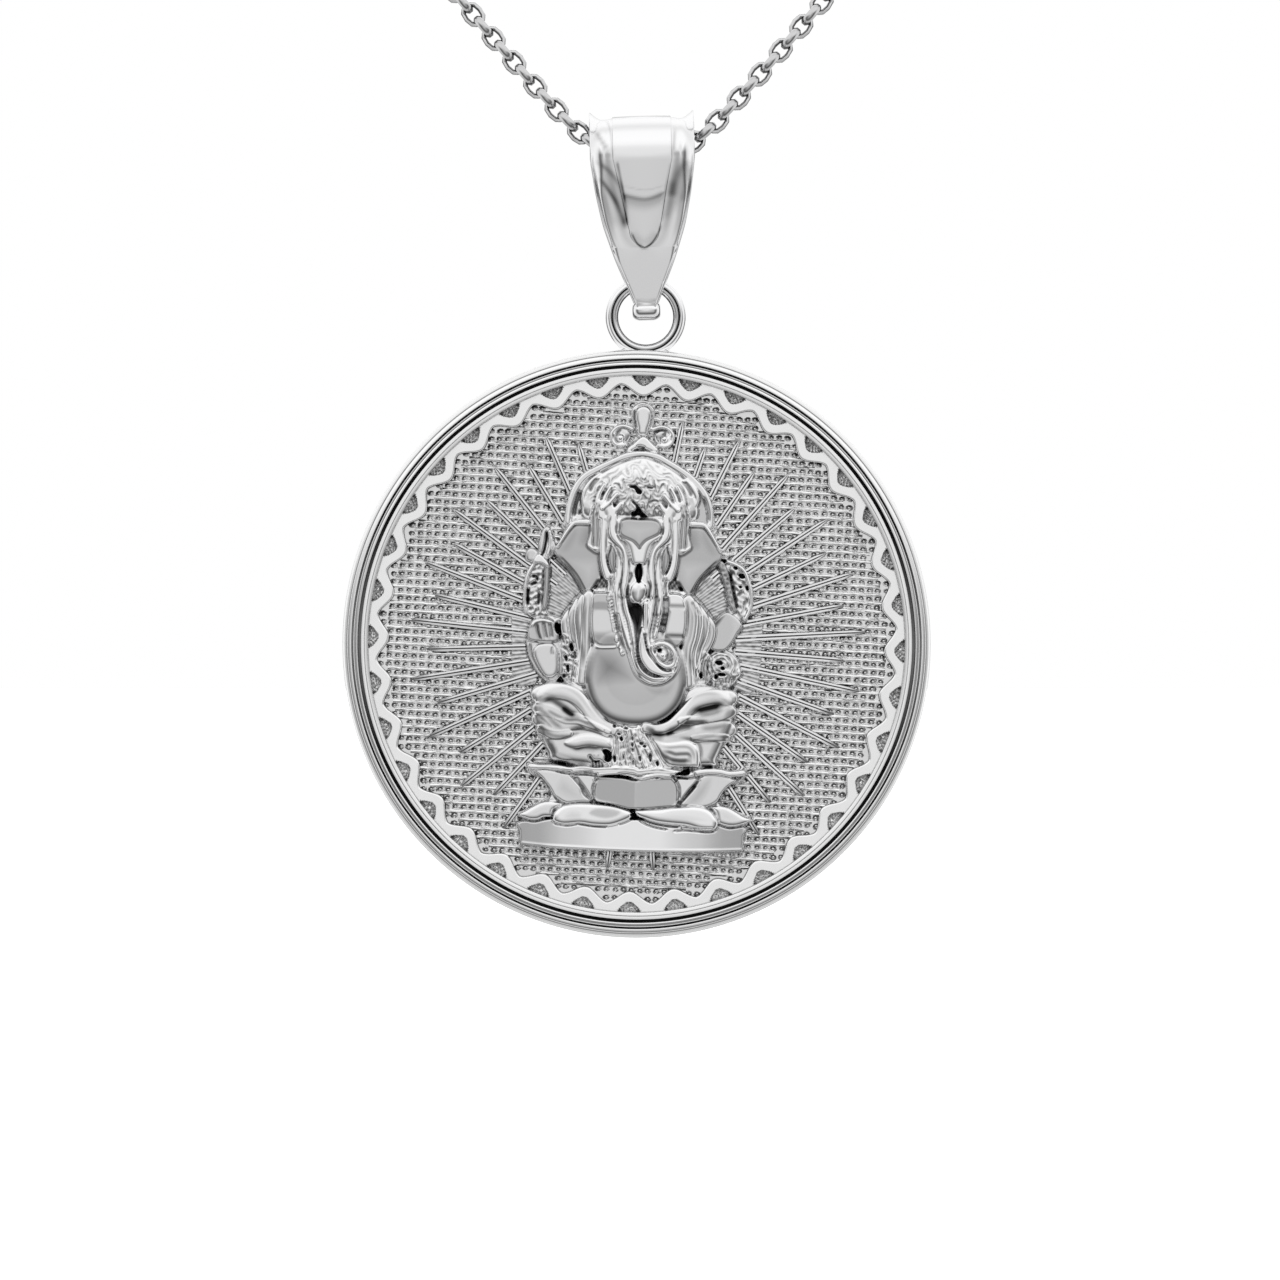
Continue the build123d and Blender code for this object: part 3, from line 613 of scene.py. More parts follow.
def sculpt_head(r):
    """The face with its cords, cheeks, forehead plate and lappets."""
    face = [-8.9, 28.2, -9, 24, -8.9, 20, -8.4, 16.6, -7, 13.6, -6, 10, 6, 10, 7, 13.6, 8.4, 16.6, 8.9, 20,
            9, 24, 8.9, 28.2, 4, 28.4, -4, 28.4]
    r.slab(face, 1.44, 0.40, 0.26, dark=0.06, blend=0.12)
    r.cord([9, 31.4, 8.2, 28.6, 8.1, 25, 8.2, 21.6, 7.9, 18, 6.9, 15], (0.60, 0.90), (1.40, 1.58), True, 0.2,
           0.04)
    r.line([8.9, 28, 8.95, 24, 8.9, 20, 8.6, 17, 7.9, 14.2], 0.22, -0.10, 0.45, True, 0.05)
    r.cord([7.2, 30.6, 6.2, 28.2, 6.1, 25.4, 5.6, 23.8, 4.4, 22.2, 3.4, 20.2, 2.95, 17.6, 3.1, 14, 3.3, 11],
           (1.15, 0.72), (1.46, 1.78), True, 0.2, 0.04)
    r.cord([4.6, 20.6, 4.4, 17.6, 4.6, 14, 5, 10.4, 4.8, 7], (0.65, 0.58), (1.48, 1.68), True, 0.3, 0.05)
    r.slab([-6.6, 21.9, -6.9, 19.4, -6.6, 17.4, -5.8, 15.8, -5.2, 17, -5.1, 19.2, -5.5, 21], 1.66, 0.20, 0.10,
           lean=(-0.10, 0), dark=0.40, both=True)
    forehead = [-4.4, 26, -4.2, 27.4, -2.8, 27.9, 0, 27.8, 3, 27.8, 4.3, 27.2, 4.8, 26, 4.5, 24.8, 3.3, 24,
                1.6, 23.1, 0.5, 21.9, 0.1, 21.2, -0.6, 22, -1.6, 22.9, -3.7, 23.8, -4.5, 24.6]
    r.slab([-5.2, 24.4, -2.6, 22, -1.6, 18.6, -0.9, 17.8, 0.9, 17.8, 1.7, 18.6, 2.6, 22, 5.2, 24.4, 2, 24.6,
            -2, 24.6], 1.66, 0.24, 0.10)
    r.slab(forehead, 1.74, 0.16, 0.08, lean=(0, -0.03), dark=0.42)
    r.shade(forehead, -0.10, 0.6)
    r.line(forehead + forehead[:2], 0.16, -0.05, 0.40, ends=0)
    r.line([-4.2, 27.6, -2, 28.2, 2, 28.2, 4.2, 27.6], 0.30, -0.05, 0.35)
    for side in (-1, 1):
        r.line(sided(side, [6.6, 28.5, 6.9, 26.5, 6.9, 24.6, 6.5, 23.2, 5.4, 22.2, 4.1, 20.9, 3.6, 19.4,
                     3.5, 17, 3.7, 14, 3.9, 12, 3.6, 9.6]), 0.16, -0.08, 0.68, ends=0.06)
        r.line(sided(side, [6.7, 23.8, 5.8, 22.5, 4.4, 21.3]), 0.16, -0.04, 0.5)
        r.line(sided(side, [5.2, 26.4, 5.1, 24.8, 4.5, 23.2, 3.4, 21.9, 2.8, 20.4, 2.4, 18.8, 2.1, 17.2,
                     1.8, 15.6]), 0.17, -0.09, 0.80, ends=0.12)
        r.line(sided(side, [6.5, 22.6, 6.3, 21.2, 6.8, 19.6, 6.9, 17.9, 6.5, 16.5, 5.8, 15.5]), 0.16, -0.07,
               0.80, ends=0.08)
        r.line(sided(side, [5.8, 21.6, 5.3, 19.8, 5.1, 17.9, 5.3, 16.2]), 0.14, -0.04, 0.45)
        r.line(sided(side, [6.9, 22.9, 5.6, 22.0, 4.7, 21.0]), 0.20, 0.05, -0.2)
        r.line(sided(side, [5.0, 20.4, 4.9, 17, 5.2, 14]), 0.18, -0.04, 0.35)
        lappet = sided(side, [9.6, 32, 10.8, 30, 11.1, 28, 11.1, 24.4, 11.7, 22, 11, 20.9, 9, 20.2, 8.9, 24.5,
                              8.7, 28.5])
        r.slab(lappet, 1.34, 0.10, 0.08, dark=0.10)
        r.line(sided(side, [10.1, 31.2, 10.4, 28.8, 10.4, 25.6, 10.2, 21.1]), 0.20, -0.09, 0.55, ends=0.04)
        r.line(sided(side, [9.3, 31, 9.5, 28, 9.3, 24, 9.3, 21]), 0.16, -0.05, 0.45, ends=0.04)
        r.line(sided(side, [11.6, 22, 10.8, 21.3, 9.2, 20.9]), 0.18, 0.05, -0.1)


def sculpt_trunk(r):
    """The trunk with its cords, curl, channel and the beaded rope beside it."""
    shaft = [-5.6, 16, -5.4, 11, -4.4, 6, -3, 1.6, -1.8, -1.6, -0.6, -5, 1, -7.8, 3, -8.9, 4.6, -9.1,
             6.6, -8.5, 8.6, -6.9, 9.4, -4.6, 9.2, -2, 7.8, 0.2, 5.6, 0.8, 4, 1.6, 4.4, 5, 5.4, 9.4, 5.6, 15,
             4.8, 17.2, 2.4, 18.4, 0, 18.6, -2.4, 18.4, -4.8, 17.2]
    r.slab(shaft, 1.66, 0.60, 0.30, lean=(0, -0.065), blend=0.20)
    r.cord([-4.5, 19.6, -4.6, 16, -4.7, 12, -4.2, 8.4, -3.2, 4, -2.1, 0.6, -1.0, -2.8, 0.2, -6, 1.6, -7.6,
            3.6, -8.4, 5.8, -8.2, 7.8, -6.9, 8.8, -5, 8.9, -3], (0.60, 0.62), (1.46, 2.04), flat=0.32,
           blend=0.06)
    r.cord([-3.3, 19.4, -3.1, 15.6, -3, 12, -2.7, 8.8, -1.7, 5, -0.9, 1, -0.5, -2, 0.4, -5, 1.8, -6.7,
            3.8, -7.7, 6, -7.6], (0.50, 0.42), (1.50, 2.06), flat=0.35, blend=0.05)
    r.cord([1.9, 9, 2, 5.6, 1.9, 2.6], (0.62, 0.42), 1.88, flat=0.45)
    r.cord([3.3, 19.4, 3.3, 15.4, 3.4, 12, 3.2, 8.6, 2.8, 5, 2.4, 2, 2.8, -0.8], (0.50, 0.44), (1.50, 1.96),
           flat=0.35, blend=0.05)
    r.cord([4.6, 18.6, 4.9, 14.8, 5.2, 11, 5.2, 7.4, 4.6, 4.2, 4, 1.8], (0.55, 0.42), (1.46, 1.78), flat=0.35,
           blend=0.05)
    blade = [1.1, 3.5, 0.65, 0.9, 0.6, -1, 0.8, -2.7, 1.4, -4.1, 2.7, -5.7, 4.1, -6.5, 6, -7, 7.6, -6.8,
             8.4, -6, 6.3, -5.8, 5.2, -5.1, 4.1, -3.8, 2.9, -2.4, 2.2, -1, 1.7, 0.9, 1.3, 2.9]
    r.slab(blade, 2.10, 0.14, 0.06)
    r.cord([3.5, -0.4, 3.4, -1.6, 4.3, -3, 5.6, -4.3, 7, -4.9, 8.3, -4.4, 8.7, -3, 8.3, -1.4, 7.2, -0.2,
            5.6, 0.3, 4.3, -0.1], 0.52, (2.06, 2.14), flat=0.5)
    r.dome(6.2, -2.1, 2.0, 2.0, 2.12, 1.86, dark=0.12)
    r.dome(5.9, -2.4, 0.85, 0.9, 2.26, 1.95)
    r.line([5.6, -1.0, 6.4, -1.0, 7.0, -2.0, 6.8, -3.1, 6.1, -3.5], 0.16, -0.09, 0.65)
    r.line([4.6, -1.9, 4.8, -3.0, 5.8, -3.8, 7.2, -3.7, 7.9, -2.6], 0.15, -0.07, 0.45)
    r.hole([4.7, -1.2, 5.2, -0.8, 5.7, -1.0, 5.5, -1.5, 4.9, -1.7], 0.35, 0.06)
    channel = [-2.3, 13.6, -2.1, 12.2, -2, 10.8, -1.4, 9.3, -0.2, 9, 0.8, 8.6, 1.1, 7.4, 1.1, 5.1, 0.8, 3.4,
               0.6, 0.9, 0.5, -1, 0.7, -2.7, 1.3, -4.2, 2.4, -5.6, 3.5, -6.4, 5.5, -6.95, 6.3, -7.1,
               4.9, -7.4, 3.1, -7.0, 1.7, -6.1, 0.6, -4.5, 0.1, -2.7, 0, -1, -0.2, 0.9, -0.6, 3.4, -1, 5.1,
               -1.8, 7.1, -2.3, 9, -2.7, 10.6, -2.8, 12]
    r.hole(channel, 0.45, 0.23, dark=1.0)
    r.slab([-0.2, 14, 0.9, 13.8, 1.8, 12.8, 1.9, 11.4, 1.2, 9.9, 0, 9.1, -1.2, 9.9, -1.7, 11.4, -1.3, 13],
           1.74, 0.50, 0.20, dark=0.04, blend=0.14)
    r.hole([0.1, 18, 0.75, 17, 0.85, 15.4, 0.2, 13.6, -0.6, 14.8, -0.75, 16.6], 0.50, 0.12)
    for points, width, dark in (([2.2, 14.2, 2.7, 12.8, 2.5, 10.8, 2.2, 10], 0.30, 1.1),
            ([-1.8, 16, -1.6, 14.8, -2.2, 13.4], 0.22, 1.0),
            ([-3.7, 17.6, -3.6, 15.7, -3.9, 12.9, -3.5, 10.2, -3.2, 7.6, -2.1, 4.6, -1.4, 1.8, -0.8, -0.5,
              -0.4, -2.7, 0.4, -5.5, 1.5, -6.9, 3.5, -8, 5.6, -8.2], 0.20, 0.8),
            ([-5.3, 12, -4.9, 8.5, -4.3, 6.2, -3.2, 2.9, -2.4, 0.4, -1.5, -1.9, -0.7, -4.1, 0.1, -6.1,
              1.4, -8, 3.2, -8.9], 0.16, 0.45),
            ([3.6, 17.4, 3.8, 14.9, 3.9, 12.1, 4.1, 10.2, 3.8, 7.6, 3.4, 5.1, 2.9, 2.3, 3.1, 0.4], 0.19,
             0.72), ([4.8, 10.4, 4.5, 8.5, 4.1, 6.2, 3.8, 4, 3.5, 1.8], 0.17, 0.6),
            ([5.8, 11, 5.6, 8.6, 5, 5.6, 4.5, 3], 0.15, 0.35),
            ([2.1, 2.6, 2.1, 0, 2.7, -1.9, 4.1, -3.8, 5.5, -5.2, 6.9, -5.9, 8.4, -5.7], 0.20, 0.75),
            ([1.2, 9, 1.3, 6, 1.25, 3.8], 0.14, 0.5), ([3.2, -0.6, 3.3, -2, 4.6, -3.8], 0.14, 0.35),
            ([7, -8.2, 8.5, -6.8, 9.1, -5.2, 9.1, -3.4], 0.14, 0.35)):
        r.line(points, width * 0.9, -0.06, dark, ends=0.08)
    rope = smooth_path([-6.4, 11, -5.9, 7.6, -5.1, 4.2, -4.5, 1.6, -3.9, -0.6, -2.9, -2.4], spans=5) / UNIT
    rng = random.Random(9)
    for x, z in rope:
        r.dome(x + rng.uniform(-0.12, 0.12), z, 0.46, 0.36, 1.72 + rng.uniform(-0.05, 0.05), 1.40, turn=35,
               dark=0.02)
    r.line([-5.6, 10, -5.1, 6.6, -4.4, 3.2, -3.6, 0.6, -2.8, -1.6], 0.18, -0.06, 0.5)


def sculpt_torso(r):
    """Chest, belly, breast plates and the cloth that falls from the shoulders."""
    r.slab([-12.4, 10.6, -10, 12.2, -4, 13, 4, 13, 10, 12.2, 12.6, 10.4, 13.6, 0, 12.6, -11, 0, -14,
            -12.6, -11, -13.6, 0], 1.0, 0.3, 0.2)
    belly = [-11.4, -7, -11, -10.6, -9.6, -13.8, -7.2, -16.4, -4, -17.9, 0, -18.4, 4, -17.9, 7.2, -16.4,
             9.8, -13.8, 11.3, -10.4, 11.5, -7, 10, -1, 6, 3, -6, 3, -10, -1]
    r.slab(belly, 1.60, 0.55, 0.30, dark=0.33)
    r.dome(0, -7.4, 9.6, 9.0, 1.64, 1.56, power=1.0, dark=0.33)
    r.line([-11, -8.4, -10, -12.4, -8, -14.9, -5, -16.8, 0, -17.5, 5, -16.8, 8.2, -14.7, 10.2, -12, 11, -8.4],
           0.9, 0.0, 0.26, ends=0.08)
    # Painted shadow on the belly's upper left, under the breast plate, and painted shade on its lower right.
    r.shade([-10, -1.2, -4, -1.4, -1.4, -4.4, 0.2, -8.6, -4, -9.4, -9.4, -9.6], 0.34, 1.0)
    r.shade([1.6, -9, 5, -9.6, 8.4, -8, 9.8, -5, 8, -11, 4, -11.4], 0.16, 0.4)
    plate = [-9.9, 10.8, -8, 11.2, -5.0, 10.8, -4.2, 8.5, -3.6, 6, -3.0, 2.9, -2.6, 0.4, -3.6, -0.9, -8.5, -1,
             -9.5, -0.2, -10.1, 2.3, -10.3, 5.1, -10.2, 8.5]
    r.slab(plate, 1.52, 0.10, 0.08, dark=0.30)
    # Painted shade and a painted highlight in bands across the left breast plate.
    r.shade([-9.9, 9.2, -6.2, 9.2, -5.9, 7.4, -10, 7.4], 0.22, 0.10)
    r.shade([-10, 7.2, -5.9, 7.2, -4.9, 3, -10.1, 2.6], -0.16, 0.15)
    r.shade([-10, 2.2, -4.8, 2.2, -4.4, -0.4, -8.6, -0.6], 0.24, 0.25)
    r.line([-9.8, -0.1, -8.4, -1, -4.8, -0.9], 0.20, 0.06, -0.5, ends=0)
    r.line([-9.3, 0.3, -8.2, -0.5, -5, -0.4], 0.16, -0.03, 0.3, ends=0)
    r.slab([7, 11.2, 9.8, 11, 10.6, 9, 11, 6.2, 10.9, 3.4, 10.2, 0.4, 8.6, -0.2, 6, 1.4, 6.2, 3, 6.6, 5.6,
            6.9, 8.5], 1.52, 0.10, 0.08)
    r.line([7, 8.5, 10.6, 8.5], 0.5, -0.04, 0.42, ends=0.02)
    # Painted shade in bands across the right breast plate.
    r.shade([6.9, 7.6, 10.9, 7.6, 10.8, 2.8, 6.3, 2.8], 0.12, 0.1)
    r.line([6.2, 1.8, 10.7, 1.8], 0.55, -0.06, 0.60, ends=0.02)
    r.shade([6, 1.2, 10.4, 1.2, 9.8, -0.6, 6.2, -0.4], 0.40, 0.1)
    groove = [6.9, 8.2, 6.5, 6, 6, 4, 5.5, 2]
    r.line(groove, 0.42, -0.08, 0.30, ends=0.15)
    r.mottle([7.3, 8.4, 6.7, 5, 6, 1.8, 5.2, 2, 5.6, 5, 6.3, 8.4], 0.03, 0.5, 0.7, 4)
    strands = [([-10.9, 10.4, -11.1, 6, -11.2, 1, -11.4, -3, -11.9, -8.6], (0.75, 0.7), 1.42),
               ([-12, 9.8, -12.9, 6.2, -12.5, 2, -12, -2.6, -12.6, -8.6], (0.7, 0.6), 1.32),
               ([-13, 8.8, -14.2, 5.8, -13.9, 2, -12.9, -2.6, -13.4, -8.6], (0.8, 0.6), 1.20),
               ([-14.2, 7, -15.8, 4.6, -15.6, 1.6, -14.4, -1.6], (0.85, 0.6), 1.02),
               ([11.4, 10, 12.2, 6.6, 12, 2.4, 11.2, -1.6, 11.8, -8.6], (0.75, 0.7), 1.42),
               ([12.2, 9.4, 13.5, 6.4, 13.2, 2.4, 12.2, -2, 12.6, -8.4], (0.7, 0.6), 1.32),
               ([13.2, 8.6, 14.8, 6, 14.7, 2.6, 13.6, -0.8, 12.9, -4.8], (0.7, 0.6), 1.20),
               ([14.6, 6.8, 16.2, 4.6, 16.4, 2.4, 15.6, 0, 14, -2.6, 13.2, -5.4, 13.2, -8.8], (0.8, 0.5),
                1.06)]
    for points, width, crest in strands:
        r.cord(points, (width[0] * 1.7, width[1] * 1.6), crest, flat=0.4, blend=0.2, dark=0.10)
    for points, width, dark in (([-11.6, 9, -12, 5.4, -11.8, 1.8, -11.6, -1.8, -11.9, -6], 0.16, 0.35),
            ([-12.7, 8.5, -13.5, 6, -13.3, 3, -12.8, 0.6, -12.1, -2.4, -12.2, -6], 0.22, 0.6),
            ([-13.4, 8, -14.4, 5.8, -14.5, 2.9, -13.4, -1, -12.8, -3.8], 0.16, 0.35),
            ([-10.3, 9.6, -10.5, 6, -10.4, 2, -10.6, -1], 0.14, 0.35),
            ([10.7, 9.6, 11.1, 6.2, 10.9, 3.4, 10.2, 0.4, 9.9, -2], 0.16, 0.5),
            ([11.9, 8.5, 12.2, 5, 11.8, 1.8, 11, -1, 11.2, -5], 0.16, 0.4),
            ([13.2, 7.8, 13.9, 5, 13.4, 1, 12.3, -2.7, 12.5, -6.6], 0.18, 0.45),
            ([14.6, 6.6, 15.2, 3.8, 14.8, 0.4, 13.6, -2.2], 0.16, 0.4),
            ([15.9, 5, 16.6, 3.4, 16.2, 1, 15, -1], 0.14, 0.3), ([12, 9.8, 13.4, 7.6, 14.2, 6.6], 0.14, 0.3)):
        r.line(points, width * 1.9, -0.02, dark * 0.75, ends=0.18)
    rough = [-16.8, 2.4, -15, 1.6, -13.4, -1, -12.8, -4, -13.4, -8.6, -16.4, -8.4, -16.6, -4, -16.9, -1]
    r.slab(rough, 0.86, 0.3, 0.2, dark=0.10)
    r.mottle(rough, 0.035, 0.5, 0.7, 8, 0.2)
    for x, z, w, h in ((-14.5, -1.2, 0.5, 0.9), (-13.7, -2.8, 0.4, 0.8), (-15.7, -3.6, 0.4, 0.6),
            (-15.2, -6, 0.35, 0.9), (-16.1, -7.6, 0.6, 0.4)):
        r.hole(speck(x, z, w, h, (0.6, 0.3, 0.5, 0.2)), 0.25, 0.06, dark=0.9)


def sculpt_left_arms(r):
    """The raised and the open hand on the left, with what they hold."""
    arm = [-24.6, 5.8, -25.6, 9, -25.7, 12, -25.2, 15, -23.8, 17.6, -21, 17, -20.2, 17.4, -20, 12, -20.4, 7,
           -18, 5.6, -15.4, 5, -15.8, 3, -20, 4.4]
    r.slab(arm, 0.62, 0.16, 0.12, dark=0.08)
    r.mottle(arm, 0.035, 0.5, 0.75, 6, 0.2)
    r.cord([-24.9, 6.4, -25.3, 9, -25.2, 12.4, -24.7, 15, -23.4, 17.4], 0.42, 0.76, flat=0.5)
    strip = [-21, 18, -20, 17.6, -20, 12, -20.4, 7.6, -21.4, 7.6, -21.1, 12]
    r.slab(strip, 0.80, 0.08, 0.05, dark=0.42)
    r.line([-21.3, 16.6, -21.3, 12, -21.6, 8], 0.18, -0.06, 0.5)
    r.slab([-25, 20.6, -23.2, 20.6, -22.2, 18.8, -23.6, 17.6, -25.4, 18.2], 0.70, 0.2, 0.14, dark=0.22)
    r.slab([-23, 19.2, -22, 19.4, -20.2, 17.6, -20.2, 16.6, -21.8, 17.4, -23.6, 17.6], 0.92, 0.10, 0.06)
    r.slab([-21.6, 25.2, -20, 25.4, -18.9, 22.4, -18.8, 20, -20.4, 18.2, -22, 18.9, -22.6, 21.4], 0.66, 0.10,
           0.08, dark=0.16)
    r.cord([-20.2, 24.6, -19.8, 22, -20.4, 19.4], 0.40, 0.80, flat=0.5)
    r.line([-20.7, 24.8, -20.9, 22.4, -21.3, 20.3, -21.8, 19.2], 0.24, -0.14, 1.0, ends=0.08)
    for points in ([-24.6, 12, -24.7, 10, -24.6, 7.8], [-22.1, 11, -22.1, 9.4, -22.4, 8],
                   [-24.2, 12.6, -22.6, 13.2], [-23.9, 14.6, -22.8, 14.4, -22.6, 13.4]):
        r.line(points, 0.30, -0.14, 1.0, ends=0.15)
    palm = [-24.6, 0.6, -24.2, -3.2, -22.8, -6.2, -20.4, -8.8, -17.4, -8.6, -16.2, -5, -16.6, -1.4, -18, 1.4,
            -21, 2]
    r.slab(palm, 0.72, 0.16, 0.12, dark=0.16)
    fingers = [-24.3, 0.4, -24.1, 3.4, -23.2, 4.9, -21, 5.3, -18.8, 4.7, -17.7, 2.6, -17.6, 0.2, -20.6, -0.2]
    r.slab(fingers, 0.88, 0.14, 0.12, lean=(-0.05, 0), dark=0.28)
    r.line([-23.6, 3, -22.8, 4.3, -20.8, 4.7, -18.9, 4.1], 0.30, 0.05, -0.3)
    for points, dark in (([-22.4, 4, -22.1, 2, -21.4, 0.1], 0.8), ([-21, 4.4, -20.6, 2.4, -20.1, 0.4], 0.3),
            ([-19.6, 4.2, -19.2, 2.4, -19, 0.6], 0.3)):
        r.line(points, 0.20, -0.08, dark, ends=0.15)
    r.hole([-18.4, 4, -17.8, 4.2, -17.3, 2.6, -17.7, 1.8, -18.3, 2.6], 0.3, 0.06)
    r.slab([-23.1, -2.7, -22.4, -1, -20.8, -0.5, -18.6, -0.6, -17.5, -2.7, -17.3, -6.1, -18.3, -7.8,
            -20.3, -7.8, -22, -5.5], 0.96, 0.22, 0.10, dark=0.16)
    r.line([-18.4, -0.6, -18.8, -1.8, -18.7, -3.2], 0.26, -0.03, 0.2)
    for shift, rise in ((0, 0.05), (0.5, -0.05), (-0.45, -0.05)):
        r.line([-24.4 + shift, -0.4, -23.8 + shift, -3.4, -22.6 + shift, -5.7, -21.2 + shift, -7.6,
                -19.8 + shift, -8.7], 0.15, rise, 0.5 if rise < 0 else -0.1, ends=0.05)


def sculpt_right_arms(r):
    """The noose, the forearm and the round sweet on the right."""
    noose = [20.4, 7.2, 20.4, 12, 19.2, 16, 18, 18.6, 19.4, 20, 21.6, 19, 23.8, 17.8, 24.9, 15, 25.8, 12,
             25.7, 9.4, 24.4, 5.6, 22.6, 6]
    r.slab(noose, 0.66, 0.16, 0.12, dark=0.06)
    r.mottle(noose, 0.035, 0.5, 0.75, 7, 0.2)
    r.cord([24.2, 6.2, 25.3, 9, 25.4, 12, 24.6, 15, 23.5, 17.2, 21.6, 18.4, 19.8, 19], 0.40, 0.80, flat=0.5)
    strip = [17.7, 18.6, 18.9, 18.9, 20, 16.8, 20.8, 13.6, 21.4, 11, 22.2, 8.2, 21.4, 7.6, 20.2, 10, 19.2, 14]
    r.slab(strip, 0.86, 0.10, 0.06, dark=0.42)
    r.mottle(strip, 0.02, 0.4, 0.7, 5)
    r.line([20.4, 17.2, 21, 14, 21.6, 11.6, 22.3, 8.3], 0.26, -0.12, 0.85, ends=0.05)
    for x, z, w, h in ((23.1, 15.8, 0.7, 0.5), (19.2, 19.1, 0.5, 0.35), (20.2, 19.6, 0.4, 0.3),
            (21.7, 17.6, 0.5, 0.3), (24.4, 13.2, 0.35, 0.5), (22.9, 13.4, 0.4, 0.3)):
        r.hole(speck(x, z, w, h, (0.6, 0.3, 0.5, 0.2)), 0.3, 0.05)
    r.slab([15.6, 5, 17.2, 5.6, 20.1, 7.7, 23.5, 5.1, 22.6, 2.9, 21.2, 0.4, 19.5, -1.1, 17.2, -1, 15.6, 0],
           0.80, 0.14, 0.10, lean=(0.05, 0.02), dark=0.24)
    r.shade([17.1, 5.5, 19.9, 7.3, 19, 5.6, 17.9, 4, 17.3, 3], 0.62, 0.14)
    r.shade([20.6, 6.8, 23.2, 5, 21.4, 1.4, 20.2, 0.8, 21.2, 4], -0.10, 0.3)
    r.slab([13, -2.4, 15.6, -1.2, 17.2, -3.4, 16.8, -7.4, 15.2, -9, 13, -9.2], 1.02, 0.20, 0.14, dark=0.08)
    for k in range(4):
        r.line([14.2 + 0.75 * k, -2.6 - 0.2 * k, 13.9 + 0.7 * k, -5.2, 14.0 + 0.6 * k, -8.4], 0.18, -0.08,
               0.5, ends=0.1)
    r.dome(19.2, -5.2, 4.2, 4.4, 0.92, 0.62, power=0.6, dark=0.06)
    r.mottle([15.4, -5, 16.6, -2, 19.2, -0.8, 22, -2, 23.2, -5, 22, -8.6, 19, -9.4, 16.4, -8.2], 0.03, 0.35,
             0.9, 12)
    for radius, dark in ((3.2, 0.45), (2.3, 0.4), (1.5, 0.5)):
        circle = [(19.1 + radius * math.cos(t / 8 * math.tau),
                   -4.4 + radius * math.sin(t / 8 * math.tau)) for t in range(-1, 7)]
        r.line(circle, 0.18, -0.07, dark)
    for x, z, w, h in ((18.6, -3.7, 0.8, 0.5), (19.4, -4.9, 0.5, 0.4), (19.2, -6.3, 1.0, 0.35),
            (18, -6.8, 0.4, 0.5), (14.6, -6.6, 0.35, 0.7)):
        r.hole(speck(x, z, w, h, (0.2, 0.3, 0.5, 0.2)), 0.35, 0.05)
    for k in range(5):
        r.line([17 + 1.1 * k, -7 - 0.15 * (2 - abs(k - 2)), 16.8 + 1.2 * k, -9], 0.16, -0.07, 0.5)
    r.dome(23.0, -5.8, 0.8, 1.5, 0.80, 0.4)


